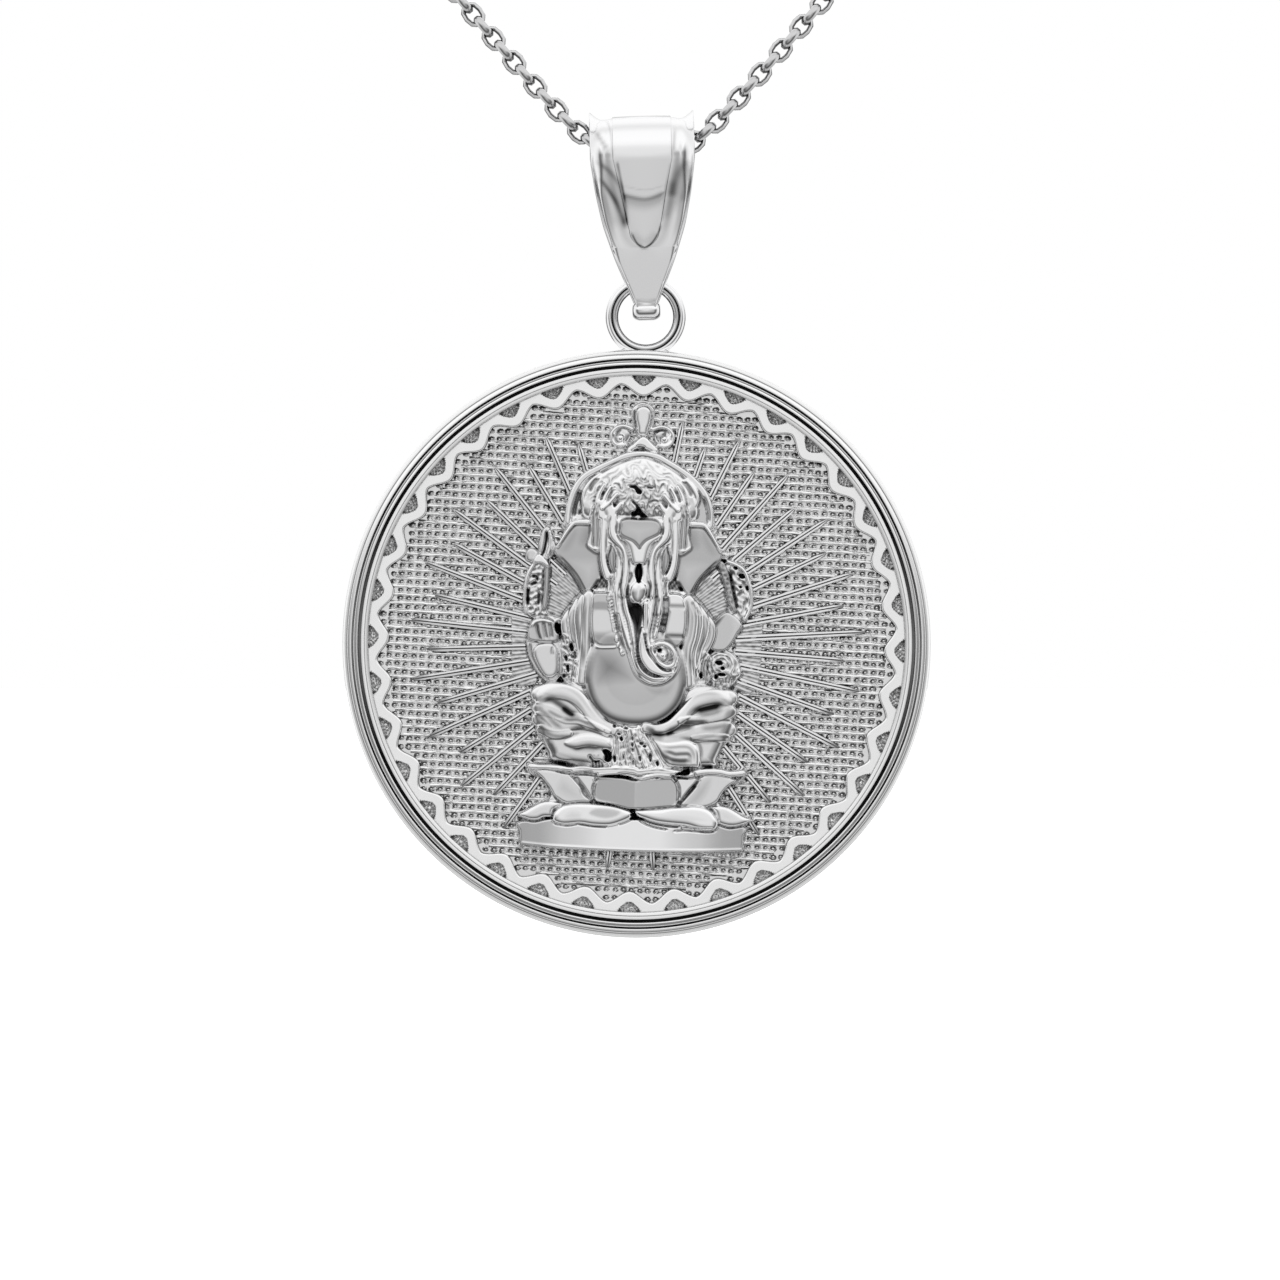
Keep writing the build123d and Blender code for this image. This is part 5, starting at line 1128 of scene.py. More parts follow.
def make_ribbon():
    """The raised ribbon inside the rim, with its half-moon pits."""
    bm = bmesh.new()
    waves = bpy.context.scene.necklace_sizes.ribbon_waves
    bmesh.ops.create_grid(bm, x_segments=RIBBON_AROUND, y_segments=RIBBON_ACROSS, size=0.5)
    flat = np.array([v.co[:2] for v in bm.verts]) + 0.5
    theta = flat[:, 0] * math.tau
    inner = ribbon_inner(theta)

    # The columns across: close together over the rounded edge, even from there to the rim
    level = flat[:, 1] * RIBBON_ACROSS
    last = len(EDGE_STEPS) - 1
    r = np.where(level < last + 0.5, inner + np.interp(level, range(last + 1), EDGE_STEPS),
                 inner + RIBBON_EDGE
                 + (RIBBON_OUTER - inner - RIBBON_EDGE) * (level - last) / (RIBBON_ACROSS - last))
    into = r - inner
    q = 1 - np.clip(into / RIBBON_EDGE, 0, 1)
    h = np.where(into <= 0.0, -0.10 + (RIBBON_TOP - 0.16) * np.clip((into + 0.035) / 0.035, 0, 1),
                 RIBBON_TOP - 0.06 * q ** 2)

    # The pits: one in each wave, with an uneven floor and a lump in it
    wave = (theta * waves / math.tau - waves / 4 + 0.5) % waves
    swing = ((wave % 1.0) - 0.5) * math.tau / waves * 14.3
    pit = np.floor(wave).astype(int) % waves
    rng = np.random.default_rng(3)
    lump = rng.uniform(0.05, 0.20, waves)[pit]
    aside = rng.uniform(-0.16, 0.16, waves)[pit]
    down = (PIT_LINE - r) / PIT_TALL
    reach = np.where((down > -0.1) & (down < 1),
                     PIT_HALF * np.clip(1 - np.clip(down, 0, 1) ** 1.5, 0, 1) ** 0.72, -1)
    edge = reach - np.abs(swing)
    depth = np.clip(edge / 0.05, 0, 1) * np.clip((PIT_LINE + 0.003 - r) / 0.02, 0, 1)
    bump = lump * np.exp(-((swing - aside) / 0.20) ** 2 - ((r - 14.36) / 0.11) ** 2)
    rough = 0.05 * np.sin(swing * 31 + pit * 1.7) * np.sin(r * 27 + pit * 2.9)
    h = np.where(depth > 0, h - depth * (PIT_DEPTH - bump - rough), h)

    # Painted shade: round and in the pits, in their corners, and at the foot of the inner edge, lighter on
    # the lumps
    ring = np.clip(1 - np.abs(edge - 0.02) / 0.05, 0, 1) * (down > -0.1)
    hollow = np.clip(np.where(depth > 0, 0.33 + 0.38 * ring - bump * 2.0 + 4 * rough, 0), 0, 1)
    corner = np.exp(-((np.abs(swing) - 0.50) / 0.09) ** 2 - ((r - 14.53) / 0.05) ** 2)
    hollow = np.clip(hollow + corner * 0.6, 0, 1)
    foot = np.where((into <= 0.001), 0.9 + 0.1 * np.cos(theta * 5), 0.0)
    hollow = np.maximum(hollow, np.clip(foot, 0, 1))

    layer = bm.verts.layers.float.new("hollow")
    for v, radius, turn, height, dark in zip(bm.verts, r, theta, h, hollow):
        v.co = (radius * math.cos(turn), radius * math.sin(turn), height)
        v[layer] = float(dark)
    bmesh.ops.remove_doubles(bm, verts=bm.verts, dist=1e-5)
    bmesh.ops.bridge_loops(bm, edges=drop_rims(bm, RIBBON_FOOT))
    bmesh.ops.recalc_face_normals(bm, faces=bm.faces)
    put("medallion_ribbon", bm, MEDALLION_PLACE, "medallion", "satin", "medallion", 40)


RAY_FIRST = 10.2
RAY_STEP = 7.53
RAY_COUNT = 19
RAY_LOW = 5.8               # turn of the two rays under the figure, away from straight down
RAY_START = 5.4
RAY_WIDTH = 0.50
RAY_TAPER = 0.14            # how much narrower a ray is at its tip
RAY_STEPS = 12
RAY_FOOT = -0.14

# A ray's section from foot to foot: across as a share of its half width, height and painted shade
RAY_SECTION = [(-1.0, -0.08, 1.0), (-0.90, 0.04, 1.0), (-0.78, 0.17, 0.2), (-0.55, 0.23, 0.0),
               (-0.15, 0.23, 0.0), (-0.04, 0.16, 0.9), (0.10, 0.16, 0.9), (0.20, 0.21, 0.0),
               (0.66, 0.20, 0.05), (0.82, 0.13, 0.7), (0.92, 0.04, 1.0), (1.0, -0.08, 1.0)]


def ray_places():
    """Turn and tip of each ray, in degrees and millimetres from the disc's centre."""
    rows = []
    for side in (-1, 1):
        for k in range(RAY_COUNT):
            if side > 0 or k > 0:
                rows.append((90 - side * (RAY_FIRST + RAY_STEP * k),
                             mm("short_ray") if k % 2 else mm("long_ray")))
    return rows + [(270 + turn, mm("long_ray")) for turn in (RAY_LOW, -RAY_LOW)]


def make_rays():
    """Thin ridges that run out from behind the figure."""
    bm = bmesh.new()
    last = len(RAY_SECTION) - 1
    for angle, tip in ray_places():
        pattern = bmesh.new()
        layer = pattern.verts.layers.float.new("hollow")
        bmesh.ops.create_grid(pattern, x_segments=last, y_segments=RAY_STEPS, size=0.5)
        for v in pattern.verts:
            s = v.co.y + 0.5
            side, height, dark = RAY_SECTION[round((v.co.x + 0.5) * last)]
            width = RAY_WIDTH - RAY_TAPER * s
            # The tip is narrower and lower, with painted shade.
            if s > 0.99:
                width *= 0.35
                height = min(height, 0.03)
                dark = 0.6
            v.co = (RAY_START + (tip - RAY_START) * s, side * width / 2, height)
            v[layer] = dark
        close_under(pattern, RAY_FOOT)
        stamp(bm, pattern, [Matrix.Rotation(math.radians(angle), 4, "Z")])
    put("medallion_rays", bm, MEDALLION_PLACE, "medallion", "relief", "medallion", 30)


GRAIN_TURN = 1.5            # degrees by which the grain leans in the disc, so that it is level in the studio
GRAIN_OUT = 13.9            # dimples are placed out to here before the ribbon's edge cuts them off
BARS_OUT = 13.6
BAR_R = 13.62               # the bars end on this circle
BAR_SHORTEST = 0.6
BAR_STEP = 0.22
BAR_COLUMN = 0.058
BAR_FOOT = -0.12

# A bar's section from its lower to its upper foot: height, and painted shade on the metal
BAR_SECTION = [(-0.06, 0.05), (0.052, 0.0), (0.080, 0.0), (0.052, 0.0), (-0.06, 0.08)]

# A dimple's loops inwards from its foot: radius, height, and the painted shade on its shaded side
DIMPLE_FOOT = (0.215, -0.08, 0.04)
DIMPLE_LOOPS = [(0.162, -0.01, 0.08), (0.124, 0.050, 1.4), (0.062, 0.050, 1.6), (0.036, 0.085, 0.0)]
DIMPLE_WIDE, DIMPLE_LOW = 1.1, 0.9


def figure_mask(x, z):
    """True where the figure stands over the field."""
    return figure_relief(x, z).h > OVER_FIELD


def grain_spots():
    """Places of the dimples: a grid, level in the studio, inside the ribbon and clear of the figure."""
    pitch = mm("grain_pitch")
    count = int(GRAIN_OUT / pitch)
    turn = math.radians(GRAIN_TURN)
    spots = []
    for i in range(-count, count + 1):
        for j in range(-count, count + 1):
            x, z = i * pitch, j * pitch
            spots.append((x * math.cos(turn) + z * math.sin(turn), -x * math.sin(turn) + z * math.cos(turn)))
    spots = np.array(spots)
    theta = np.arctan2(spots[:, 1], spots[:, 0])
    keep = np.hypot(spots[:, 0], spots[:, 1]) < ribbon_inner(theta) - 0.05
    covered = np.ones(len(spots), bool)
    for dx, dz in ((0, 0), (0.24, 0), (-0.24, 0), (0, 0.24), (0, -0.24)):
        covered &= figure_mask(spots[:, 0] + dx, spots[:, 1] + dz)
    return spots[keep & ~covered]


def make_bars(rng):
    """The level ridges between the rows of dimples."""
    turn = Matrix.Rotation(math.radians(-GRAIN_TURN), 4, "Z")
    pitch = mm("grain_pitch")
    last = len(BAR_SECTION) - 1
    bm = bmesh.new()
    rows = int(BARS_OUT / pitch)
    for j in range(-rows, rows + 1):
        z = (j + 0.5) * pitch
        half = math.sqrt(max(0.0, BAR_R ** 2 - z * z))
        if half < BAR_SHORTEST:
            continue
        bar = bmesh.new()
        layer = bar.verts.layers.float.new("hollow")
        bmesh.ops.create_grid(bar, x_segments=max(4, int(half * 2 / BAR_STEP)), y_segments=last, size=0.5)
        for v in bar.verts:
            k = round((v.co.y + 0.5) * last)
            height, dark = BAR_SECTION[k]
            v.co = (v.co.x * 2 * half, z + (k - 2) * BAR_COLUMN + rng.uniform(-0.02, 0.02),
                    height + rng.uniform(-0.02, 0.02))
            v[layer] = dark + rng.uniform(-0.1, 0.1)
        close_under(bar, BAR_FOOT)
        stamp(bm, bar, [turn])
    put("medallion_bars", bm, MEDALLION_PLACE, "medallion", "grain", "medallion", 50)


def dimple_pattern():
    """One dimple: an oval lip round a hollow with painted shade, heavier on one side, and a bright speck in
    it.
    """
    pattern = bmesh.new()
    layer = pattern.verts.layers.float.new("hollow")
    foot, low, dark = DIMPLE_FOOT
    bmesh.ops.create_circle(pattern, cap_ends=False, segments=8, radius=foot)
    for v in pattern.verts:
        v.co = (v.co.x * 1.15, v.co.y * 0.85, low)
        v[layer] = dark
    lip = list(pattern.edges)
    for radius, height, dark in DIMPLE_LOOPS:
        made = bmesh.ops.extrude_edge_only(pattern, edges=lip)
        for v in (g for g in made["geom"] if isinstance(g, bmesh.types.BMVert)):
            out = Vector((v.co.x / DIMPLE_WIDE, v.co.y / DIMPLE_LOW)).normalized()
            v.co = (out.x * radius * DIMPLE_WIDE, out.y * radius * DIMPLE_LOW, height)
            # Painted shade, heavier on the dimple's upper and left sides.
            v[layer] = min(1.0, dark * min(1.0, max(0.0, 0.60 + 0.8 * out.y - 0.35 * out.x)))
        lip = [g for g in made["geom"] if isinstance(g, bmesh.types.BMEdge) and all(
            abs(math.hypot(v.co.x / DIMPLE_WIDE, v.co.y / DIMPLE_LOW) - radius) < 1e-4 for v in g.verts)]
    bmesh.ops.edgeloop_fill(pattern, edges=lip)
    bmesh.ops.holes_fill(pattern, edges=[e for e in pattern.edges if e.is_boundary])
    bmesh.ops.recalc_face_normals(pattern, faces=pattern.faces)
    return pattern


def make_grain(rng):
    """The small dark dimples in their rows, each a little out of place."""
    places = []
    for x, z in grain_spots():
        at = (x + rng.uniform(-0.025, 0.025), z + rng.uniform(-0.02, 0.02), rng.uniform(-0.012, 0.008))
        place = Matrix.Translation(at)
        for axis, most in (("X", 0.15), ("Y", 0.15), ("Z", 0.35)):
            place = place @ Matrix.Rotation(rng.uniform(-most, most), 4, axis)
        places.append(place @ Matrix.Scale(rng.uniform(0.85, 1.12), 4))
    bm = bmesh.new()
    stamp(bm, dimple_pattern(), places)
    put("medallion_grain", bm, MEDALLION_PLACE, "medallion", "grain", "medallion", 60)


def make_field():
    """The field's square grain: level ridges with a row of small dark dimples between each two."""
    rng = random.Random(7)
    make_bars(rng)
    make_grain(rng)


FIGURE_HALF = 28.4          # half the width of the figure's grid
FIGURE_PAD = 8              # rows beyond a level that soften its ends as its neighbours' are
FIGURE_SPLIT = [("figure_crown", 27.0, 55.0), ("figure_bust", 2.0, 27.0), ("figure_lap", -22.0, 2.0),
                ("figure_seat", -48.0, -22.0)]


def soften(h, times):
    """Evens out a grid of numbers with its neighbours, a number of times over."""
    for _ in range(times):
        h = (h + np.roll(h, 1, 0) + np.roll(h, -1, 0) + np.roll(h, 1, 1) + np.roll(h, -1, 1)) / 5
    return h


def make_figure_part(name, low, high, step):
    """One level of the figure: a grid lifted by its forms, cut off under the field and closed behind."""
    z0, z1 = low * UNIT, high * UNIT
    x0, x1 = -FIGURE_HALF * UNIT, FIGURE_HALF * UNIT
    columns, rows = int((x1 - x0) / step), int((z1 - z0) / step)
    xs = x0 + np.arange(columns + 1) * (x1 - x0) / columns
    zs = z0 + np.arange(-FIGURE_PAD, rows + 1 + FIGURE_PAD) * (z1 - z0) / rows
    gx, gz = np.meshgrid(xs, zs)
    r = figure_relief(gx.ravel(), gz.ravel())
    h = r.h.reshape(gx.shape)
    smooth = soften(h, 1)

    # Painted shade: metal that lies lower than what is round it is painted darker, on top of the forms' own
    # painted shade
    wide = soften(np.clip(h, -0.1, None), 14)
    sunk = np.clip((wide - np.clip(smooth, -0.1, None) - 0.02) * 1.6, 0, 0.45)
    hollow = sunk + soften(r.dark.reshape(gx.shape), 1)
    smooth = smooth[FIGURE_PAD:-FIGURE_PAD]
    hollow = np.clip(hollow[FIGURE_PAD:-FIGURE_PAD], 0, 1)

    bm = bmesh.new()
    bmesh.ops.create_grid(bm, x_segments=columns, y_segments=rows, size=0.5)
    layer = bm.verts.layers.float.new("hollow")
    under = set()
    for v in bm.verts:
        i = round((v.co.y + 0.5) * rows)
        j = round((v.co.x + 0.5) * columns)
        height = max(float(smooth[i, j]), SUNK)
        v[layer] = float(hollow[i, j])
        v.co = (xs[j], z0 + i * (z1 - z0) / rows, height)
        if height <= SUNK + 0.002:
            under.add(v)
    bmesh.ops.delete(bm, geom=[f for f in bm.faces if all(v in under for v in f.verts)], context="FACES")
    close_under(bm, SUNK - 0.05)
    put(name, bm, MEDALLION_PLACE, "medallion", "relief", "medallion", 60)


def make_figure():
    """The seated figure, in four levels."""
    step = mm("figure_step") * 1.0
    for name, low, high in FIGURE_SPLIT:
        make_figure_part(name, low, high, step)


RING_STEPS = 112
SOLDER_LONG = 3.5
SOLDER_END = 1.76           # the solder runs out this far from the middle
SOLDER_HUMP = 1.05          # and is highest this far from it
SOLDER_DEEP = 0.32
SOLDER_SUNK = 0.20

# Section of the small ring, front half: out from the wire's middle, forward, and the painted shade of the
# metal
RING_SECTION = [(-0.340, 0.00, 0.9), (-0.332, 0.08, 1.0), (-0.300, 0.16, 0.9), (-0.272, 0.20, 0.1),
                (-0.20, 0.265, 0.0), (-0.14, 0.285, 0.2), (-0.08, 0.285, 0.5), (-0.045, 0.265, 0.9),
                (-0.02, 0.235, 1.0), (0.02, 0.24, 1.0), (0.045, 0.285, 0.2), (0.10, 0.305, 0.0),
                (0.18, 0.285, 0.0), (0.26, 0.215, 0.0), (0.32, 0.11, 0.0), (0.34, 0.0, 0.0)]


def make_ring():
    """The small ring on top of the disc, with the solder that holds it."""
    bm = bmesh.new()
    section = RING_SECTION + [(out, -front, dark) for out, front, dark in reversed(RING_SECTION[1:-1])]
    turned_profile(bm, [(RING_R + out, front, dark) for out, front, dark in section], RING_STEPS, closed=True)
    foot = bmesh.new()
    foot.verts.layers.float.new("hollow")
    bmesh.ops.create_grid(foot, x_segments=40, y_segments=16, size=0.5)
    for v in foot.verts:
        x = v.co.x * SOLDER_LONG
        a = (v.co.y + 0.5) * math.tau
        hump = 0.62 * math.exp(-((abs(x) - SOLDER_HUMP) / 0.34) ** 2) * (1 if abs(x) > SOLDER_HUMP else 0.72)
        fade = math.sqrt(max(0.0, 1 - (x / SOLDER_END) ** 2))
        tall = (SOLDER_SUNK + (0.06 + hump)) * 0.5 * (1 + math.cos(a)) * fade
        v.co = (x, math.sqrt(DISC_R ** 2 - x * x) - RING_UP - SOLDER_SUNK + tall,
                SOLDER_DEEP * math.sin(a) * fade)
    bmesh.ops.remove_doubles(foot, verts=foot.verts, dist=1e-4)
    bmesh.ops.recalc_face_normals(foot, faces=foot.faces)
    stamp(bm, foot, [Matrix.Identity(4)])
    put("medallion_ring", bm, MEDALLION_PLACE @ Matrix.Translation((0, RING_UP, 0)), "medallion", "relief",
        "medallion", 50)


# ---- bail ----

BAIL_R = 2.12
BAIL_WALL = 0.55
NOSE_W = 1.52
NOSE_R = 0.90
NOSE_Z = -8.13
EYE_R = 0.70
EYE_FLARE = 0.25
SHIELD_COLUMNS = 12
WING_COLUMNS = 22
ROLL_SIDES = 48
LEDGE = 0.12                # the wings lie this much lower than the shield
ARC_STEPS = 30
SHIELD_HALF = ([0, 1.63, 3.42, 3.96], [1.60, 1.265, 0.93, 0.80])
SHIELD_TIP = 0.89           # length of the shield's rounded tip

# Rows of the wall from its nose up to the hinge, closest round the shield's tip
BAIL_STOPS = [7.95, 7.8, 7.6, 7.3, 7.0, 6.7, 6.4, 6.1, 5.8, 5.5, 5.25, 5.05, 4.93, 4.87, 4.845, 4.835,
              4.81, 4.77, 4.71, 4.63, 4.53, 4.42, 4.3] + [round(4.2 - 0.1 * k, 3) for k in range(43)]


def wing_height(t, ear, valley, ramp):
    """Distance of the hollowed wing from the hinge, from the shield's edge at 0 to the ear at 1."""
    rise = max(0.0, (t - ramp) / (1 - ramp)) ** 2
    return BAIL_R - LEDGE - valley * math.sin(math.pi * t) ** 2 + (ear + LEDGE) * rise


def bail_row(down):
    """Half width, shield's half width, ear's height, hollow's depth and ear's start, down the wall."""
    shield = float(np.interp(down, *SHIELD_HALF))
    end, last = SHIELD_HALF[0][-1], SHIELD_HALF[1][-1]
    if down > end:
        shield = last * max(0.0, 1 - ((down - end) / SHIELD_TIP) ** 2) ** 0.6
    half, ear, valley, ramp = (float(np.interp(down, *table))
                               for table in (BAIL_HALF, BAIL_EAR, BAIL_VALLEY, BAIL_RAMP))
    return half, shield, ear, valley, ramp


def bail_section(down):
    """Points (across, distance from the hinge) from the middle to the right ear and back inside."""
    half, shield, ear, valley, ramp = bail_row(down)
    tip = shield <= 0.02
    middle = half * float(np.interp(down, [4.85, 5.6], [0.02, 0.34])) if tip else shield
    points = []
    for k in range(SHIELD_COLUMNS):
        s = k / (SHIELD_COLUMNS - 1)
        if tip:
            points.append((middle * s, BAIL_R - LEDGE))
        else:
            points.append((middle * s * (0.985 if k == SHIELD_COLUMNS - 1 else 0.97), BAIL_R - 0.03 * s * s))
    start = middle if tip else middle + 0.022
    for k in range(WING_COLUMNS):
        s = k / (WING_COLUMNS - 1)
        points.append((start + (half - 0.045 - start) * s, wing_height(s, ear, valley, ramp)))
    crest, inner = BAIL_R + ear, BAIL_R - BAIL_WALL
    return points + [(half - 0.01, crest - 0.02), (half + 0.005, crest - 0.06), (half + 0.005, crest - 0.14),
                     (half - 0.04, max(crest - 0.36, inner)), (half * 0.62, inner), (0.0, inner)]


def smooth_table(stops, values, spread):
    """A table through the stops with its corners rounded off, as (places, values)."""
    at = np.linspace(stops[0], stops[-1], 400)
    row = np.interp(at, stops, values)
    reach = max(1, int(spread / (at[1] - at[0])))
    even = np.ones(2 * reach + 1) / (2 * reach + 1)
    for _ in range(2):
        row = np.convolve(np.pad(row, reach, mode="reflect", reflect_type="odd"), even, "valid")
    return at, row


BAIL_HALF = smooth_table([0, 1.7, 3.5, 5.4, 7.2, 8.1], [2.84, 2.62, 2.26, 1.65, 0.93, 0.58], 0.35)
BAIL_EAR = smooth_table([0, 0.8, 1.7, 3.5, 5.4, 7.2, 8.1], [0.25, 0.21, 0.15, 0.09, 0.05, 0.03, 0.0], 0.3)
BAIL_VALLEY = smooth_table([0, 1.2, 2.4, 3.8, 5.0, 8.1], [0.07, 0.07, 0.08, 0.06, 0.0, 0.0], 0.4)
BAIL_RAMP = smooth_table([0, 0.8, 2.0, 8.1], [0.30, 0.55, 0.80, 0.86], 0.3)

# Painted shade and reflections on the bail's front, as soft darker sweeps: across and down from the hinge in
# millimetres,
# width, darkness, fade at the ends
BAIL_SHADE_STROKES = [([-1.12, 2.26, 0.1, 2.52, 1.14, 2.20], 0.12, 0.48, 0.02),
                ([-1.08, 2.48, 0.1, 2.74, 1.08, 2.42], 0.20, 0.28, 0.02),
                ([-1.0, 2.8, 0.1, 3.0, 1.0, 2.7], 0.2, 0.10, 0.02),
                ([-2.8, -2.36, -2.2, -2.13, -1.6, -2.05, 0, -2.12, 1.6, -2.05, 2.2, -2.13, 2.8, -2.36],
                 0.05, 0.55, 0.02),
                ([-1.9, -1.9, -1.7, -1.2, -1.62, 0.2], 0.05, 0.22, 0.1),
                ([-2.3, 0.5, -1.8, 1.8, -1.2, 3.2], 0.26, 0.24, 0.25),
                ([2.35, 0.6, 2.0, 1.9, 1.6, 3.4], 0.26, 0.26, 0.25),
                ([-1.10, 1.76, 0.1, 2.02, 1.2, 1.78], 0.05, 0.13, 0.10),
                ([-0.7, 4.3, 0, 4.8, 0.7, 4.3], 0.22, 0.14, 0.10),
                ([-1.42, 0.4, -1.21, 1.3, -1.05, 2.6, -0.90, 3.96], 0.045, 0.60, 0.06),
                ([-0.76, 4.2, -0.40, 4.9, 0, 5.12, 0.42, 4.85, 0.80, 4.25, 0.92, 3.8], 0.05, 0.80, 0.10),
                ([1.50, 0.5, 1.31, 1.5, 1.12, 2.8, 0.98, 3.8], 0.04, 0.32, 0.06),
                ([-2.59, -1.37, -2.2, -0.7, -1.75, -0.04], 0.13, 0.36, 0.25),
                ([1.80, -1.4, 1.74, -0.6, 1.66, 0.3], 0.10, 0.30, 0.25),
                ([-2.62, 0.35, -2.2, 0.62, -1.75, 1.03, -1.3, 1.74, -1.06, 2.8, -0.98, 4.1],
                 0.15, 0.50, 0.12),
                ([-2.42, 1.25, -1.9, 1.95, -1.42, 2.8, -1.02, 4.1], 0.13, 0.60, 0.12),
                ([-2.3, 1.9, -1.95, 2.9, -1.5, 4.1], 0.25, 0.18, 0.20),
                ([2.6, 0.45, 2.1, 0.85, 1.75, 1.5, 1.5, 2.5], 0.26, 0.50, 0.12),
                ([2.50, 0.7, 2.38, 1.7, 2.1, 2.8], 0.18, 0.34, 0.15),
                ([1.62, 1.4, 1.45, 2.4, 1.2, 3.7], 0.22, 0.22, 0.15),
                ([-0.55, 8.02, 0, 8.06, 0.55, 8.02], 0.05, 0.40, 0.05)]

# Its painted dark edge line, on both sides
BAIL_EDGE_SHADE = [2.74, 0.1, 2.53, 1.7, 2.16, 3.5, 1.56, 5.4, 0.86, 7.2, 0.56, 7.95]


def paint_bail_shade(bm):
    """Paints shade and reflections on the front of the bail: the soft darker sweeps and edge lines."""
    layer = bm.verts.layers.float.get("hollow") or bm.verts.layers.float.new("hollow")
    front = [v for v in bm.verts if v.co.y < 0]
    r = Relief(np.array([v.co.x for v in front]), np.array([v.co.z for v in front]))
    r.h[:] = 1.0
    strokes = BAIL_SHADE_STROKES + [(pairs(BAIL_EDGE_SHADE) * (side, 1), 0.035, 0.5, 0.03) for side in (-1, 1)]
    for points, width, dark, ends in strokes:
        r.line(pairs(points) * (1, -1) / UNIT, width / UNIT, 0.0, dark, ends=ends)
    for v in bm.verts:
        v[layer] = 0.0
    for v, dark in zip(front, r.dark):
        v[layer] = float(min(dark, 1.0))


def make_shell(name, fill):
    """A mesh that fill draws, as an object, for joining or cutting."""
    bm = bmesh.new()
    fill(bm)
    return as_object(name, bm)


def draw_bail_wall(bm):
    """The bail's wall: up its front, over the hinge and down its back."""
    lean = math.radians(BAIL_TAPER)
    sweep = math.pi + 2 * lean
    rows = [("front", down) for down in BAIL_STOPS]
    rows += [("top", k / ARC_STEPS * sweep) for k in range(1, ARC_STEPS)]
    rows += [("back", down) for down in reversed(BAIL_STOPS)]
    sections = {down: bail_section(down) for down in BAIL_STOPS}
    top = bail_section(0.0)
    n = len(top)
    around = 2 * n - 2
    bmesh.ops.create_grid(bm, x_segments=around, y_segments=len(rows) - 1, size=0.5)
    for v in bm.verts:
        i = round((v.co.x + 0.5) * around) % around
        kind, value = rows[round((v.co.y + 0.5) * (len(rows) - 1))]
        x, d = (top if kind == "top" else sections[value])[i if i < n else around - i]
        if i >= n:
            x = -x
        if kind == "top":
            a = value - lean
            v.co = (x, -math.cos(a) * d, math.sin(a) * d)
        else:
            y = math.sin(lean) * value - math.cos(lean) * d
            v.co = (x, y if kind == "front" else -y, -math.cos(lean) * value - math.sin(lean) * d)
    bmesh.ops.remove_doubles(bm, verts=bm.verts, dist=1e-5)
    bmesh.ops.holes_fill(bm, edges=[e for e in bm.edges if e.is_boundary])
    bmesh.ops.recalc_face_normals(bm, faces=bm.faces)


def draw_roll(bm, radius, width, at, squeeze, soft, flat=1.0):
    """A rounded roll across the bail at a height under the hinge, squeezed and flattened in front."""
    profile = [(0, -width / 2), (radius - soft, -width / 2)]
    for k in range(1, 6):
        a = k / 6 * math.pi / 2
        profile.append((radius - soft + soft * math.sin(a), -width / 2 + soft * (1 - math.cos(a))))
    profile += [(r, -w) for r, w in reversed(profile)]
    turned_profile(bm, profile, ROLL_SIDES)
    bmesh.ops.rotate(bm, cent=(0, 0, 0), matrix=Matrix.Rotation(math.pi / 2, 3, "Y"), verts=bm.verts)
    for v in bm.verts:
        v.co.y = math.copysign(radius * (abs(v.co.y) / radius) ** flat, v.co.y)
    bmesh.ops.scale(bm, vec=(1, 1, squeeze), verts=bm.verts)
    bmesh.ops.translate(bm, vec=(0, 0, at), verts=bm.verts)
    bmesh.ops.recalc_face_normals(bm, faces=bm.faces)


def draw_eye(bm):
    """The cutter for the eye, which flares to both sides."""
    wide = EYE_R + EYE_FLARE / (NOSE_W / 2)
    turned_profile(bm, [(0, -3), (wide, -3), (wide, -1), (EYE_R, -0.03), (EYE_R, 0.03), (wide, 1),
                        (wide, 3), (0, 3)], ROLL_SIDES)
    bmesh.ops.rotate(bm, cent=(0, 0, 0), matrix=Matrix.Rotation(math.pi / 2, 3, "Y"), verts=bm.verts)
    bmesh.ops.translate(bm, vec=(0, 0, -BAIL_DROP), verts=bm.verts)


def make_bail():
    """The hollow tapered bail: its wall, closed by its nose and pierced for the medallion's ring."""
    wall = make_shell("bail_wall", draw_bail_wall)
    core = make_shell("bail_core", lambda bm: draw_roll(bm, NOSE_R - 0.04, 1.12, NOSE_Z, 1.0, 0.10))
    roll = make_shell("bail_roll", lambda bm: draw_roll(bm, 0.90, NOSE_W, -8.49, 0.61, 0.50, flat=0.7))
    eye = make_shell("bail_eye", draw_eye)
    made = [wall, core, roll, eye]
    for cutter, operation in ((core, "UNION"), (roll, "UNION"), (eye, "DIFFERENCE")):
        cut = wall.modifiers.new("cut", "BOOLEAN")
        cut.operation = operation
        cut.solver = "EXACT"
        cut.object = cutter
    bpy.context.view_layer.update()
    whole = bpy.data.meshes.new_from_object(wall.evaluated_get(bpy.context.evaluated_depsgraph_get()))
    for obj in made:
        mesh = obj.data
        bpy.data.objects.remove(obj)
        bpy.data.meshes.remove(mesh)
    bm = bmesh.new()
    bm.from_mesh(whole)
    bpy.data.meshes.remove(whole)
    bmesh.ops.remove_doubles(bm, verts=bm.verts, dist=1e-4)
    paint_bail_shade(bm)
    put("bail_body", bm, BAIL_PLACE, "bail", "polished", "bail", 26)


# ---- chain ----

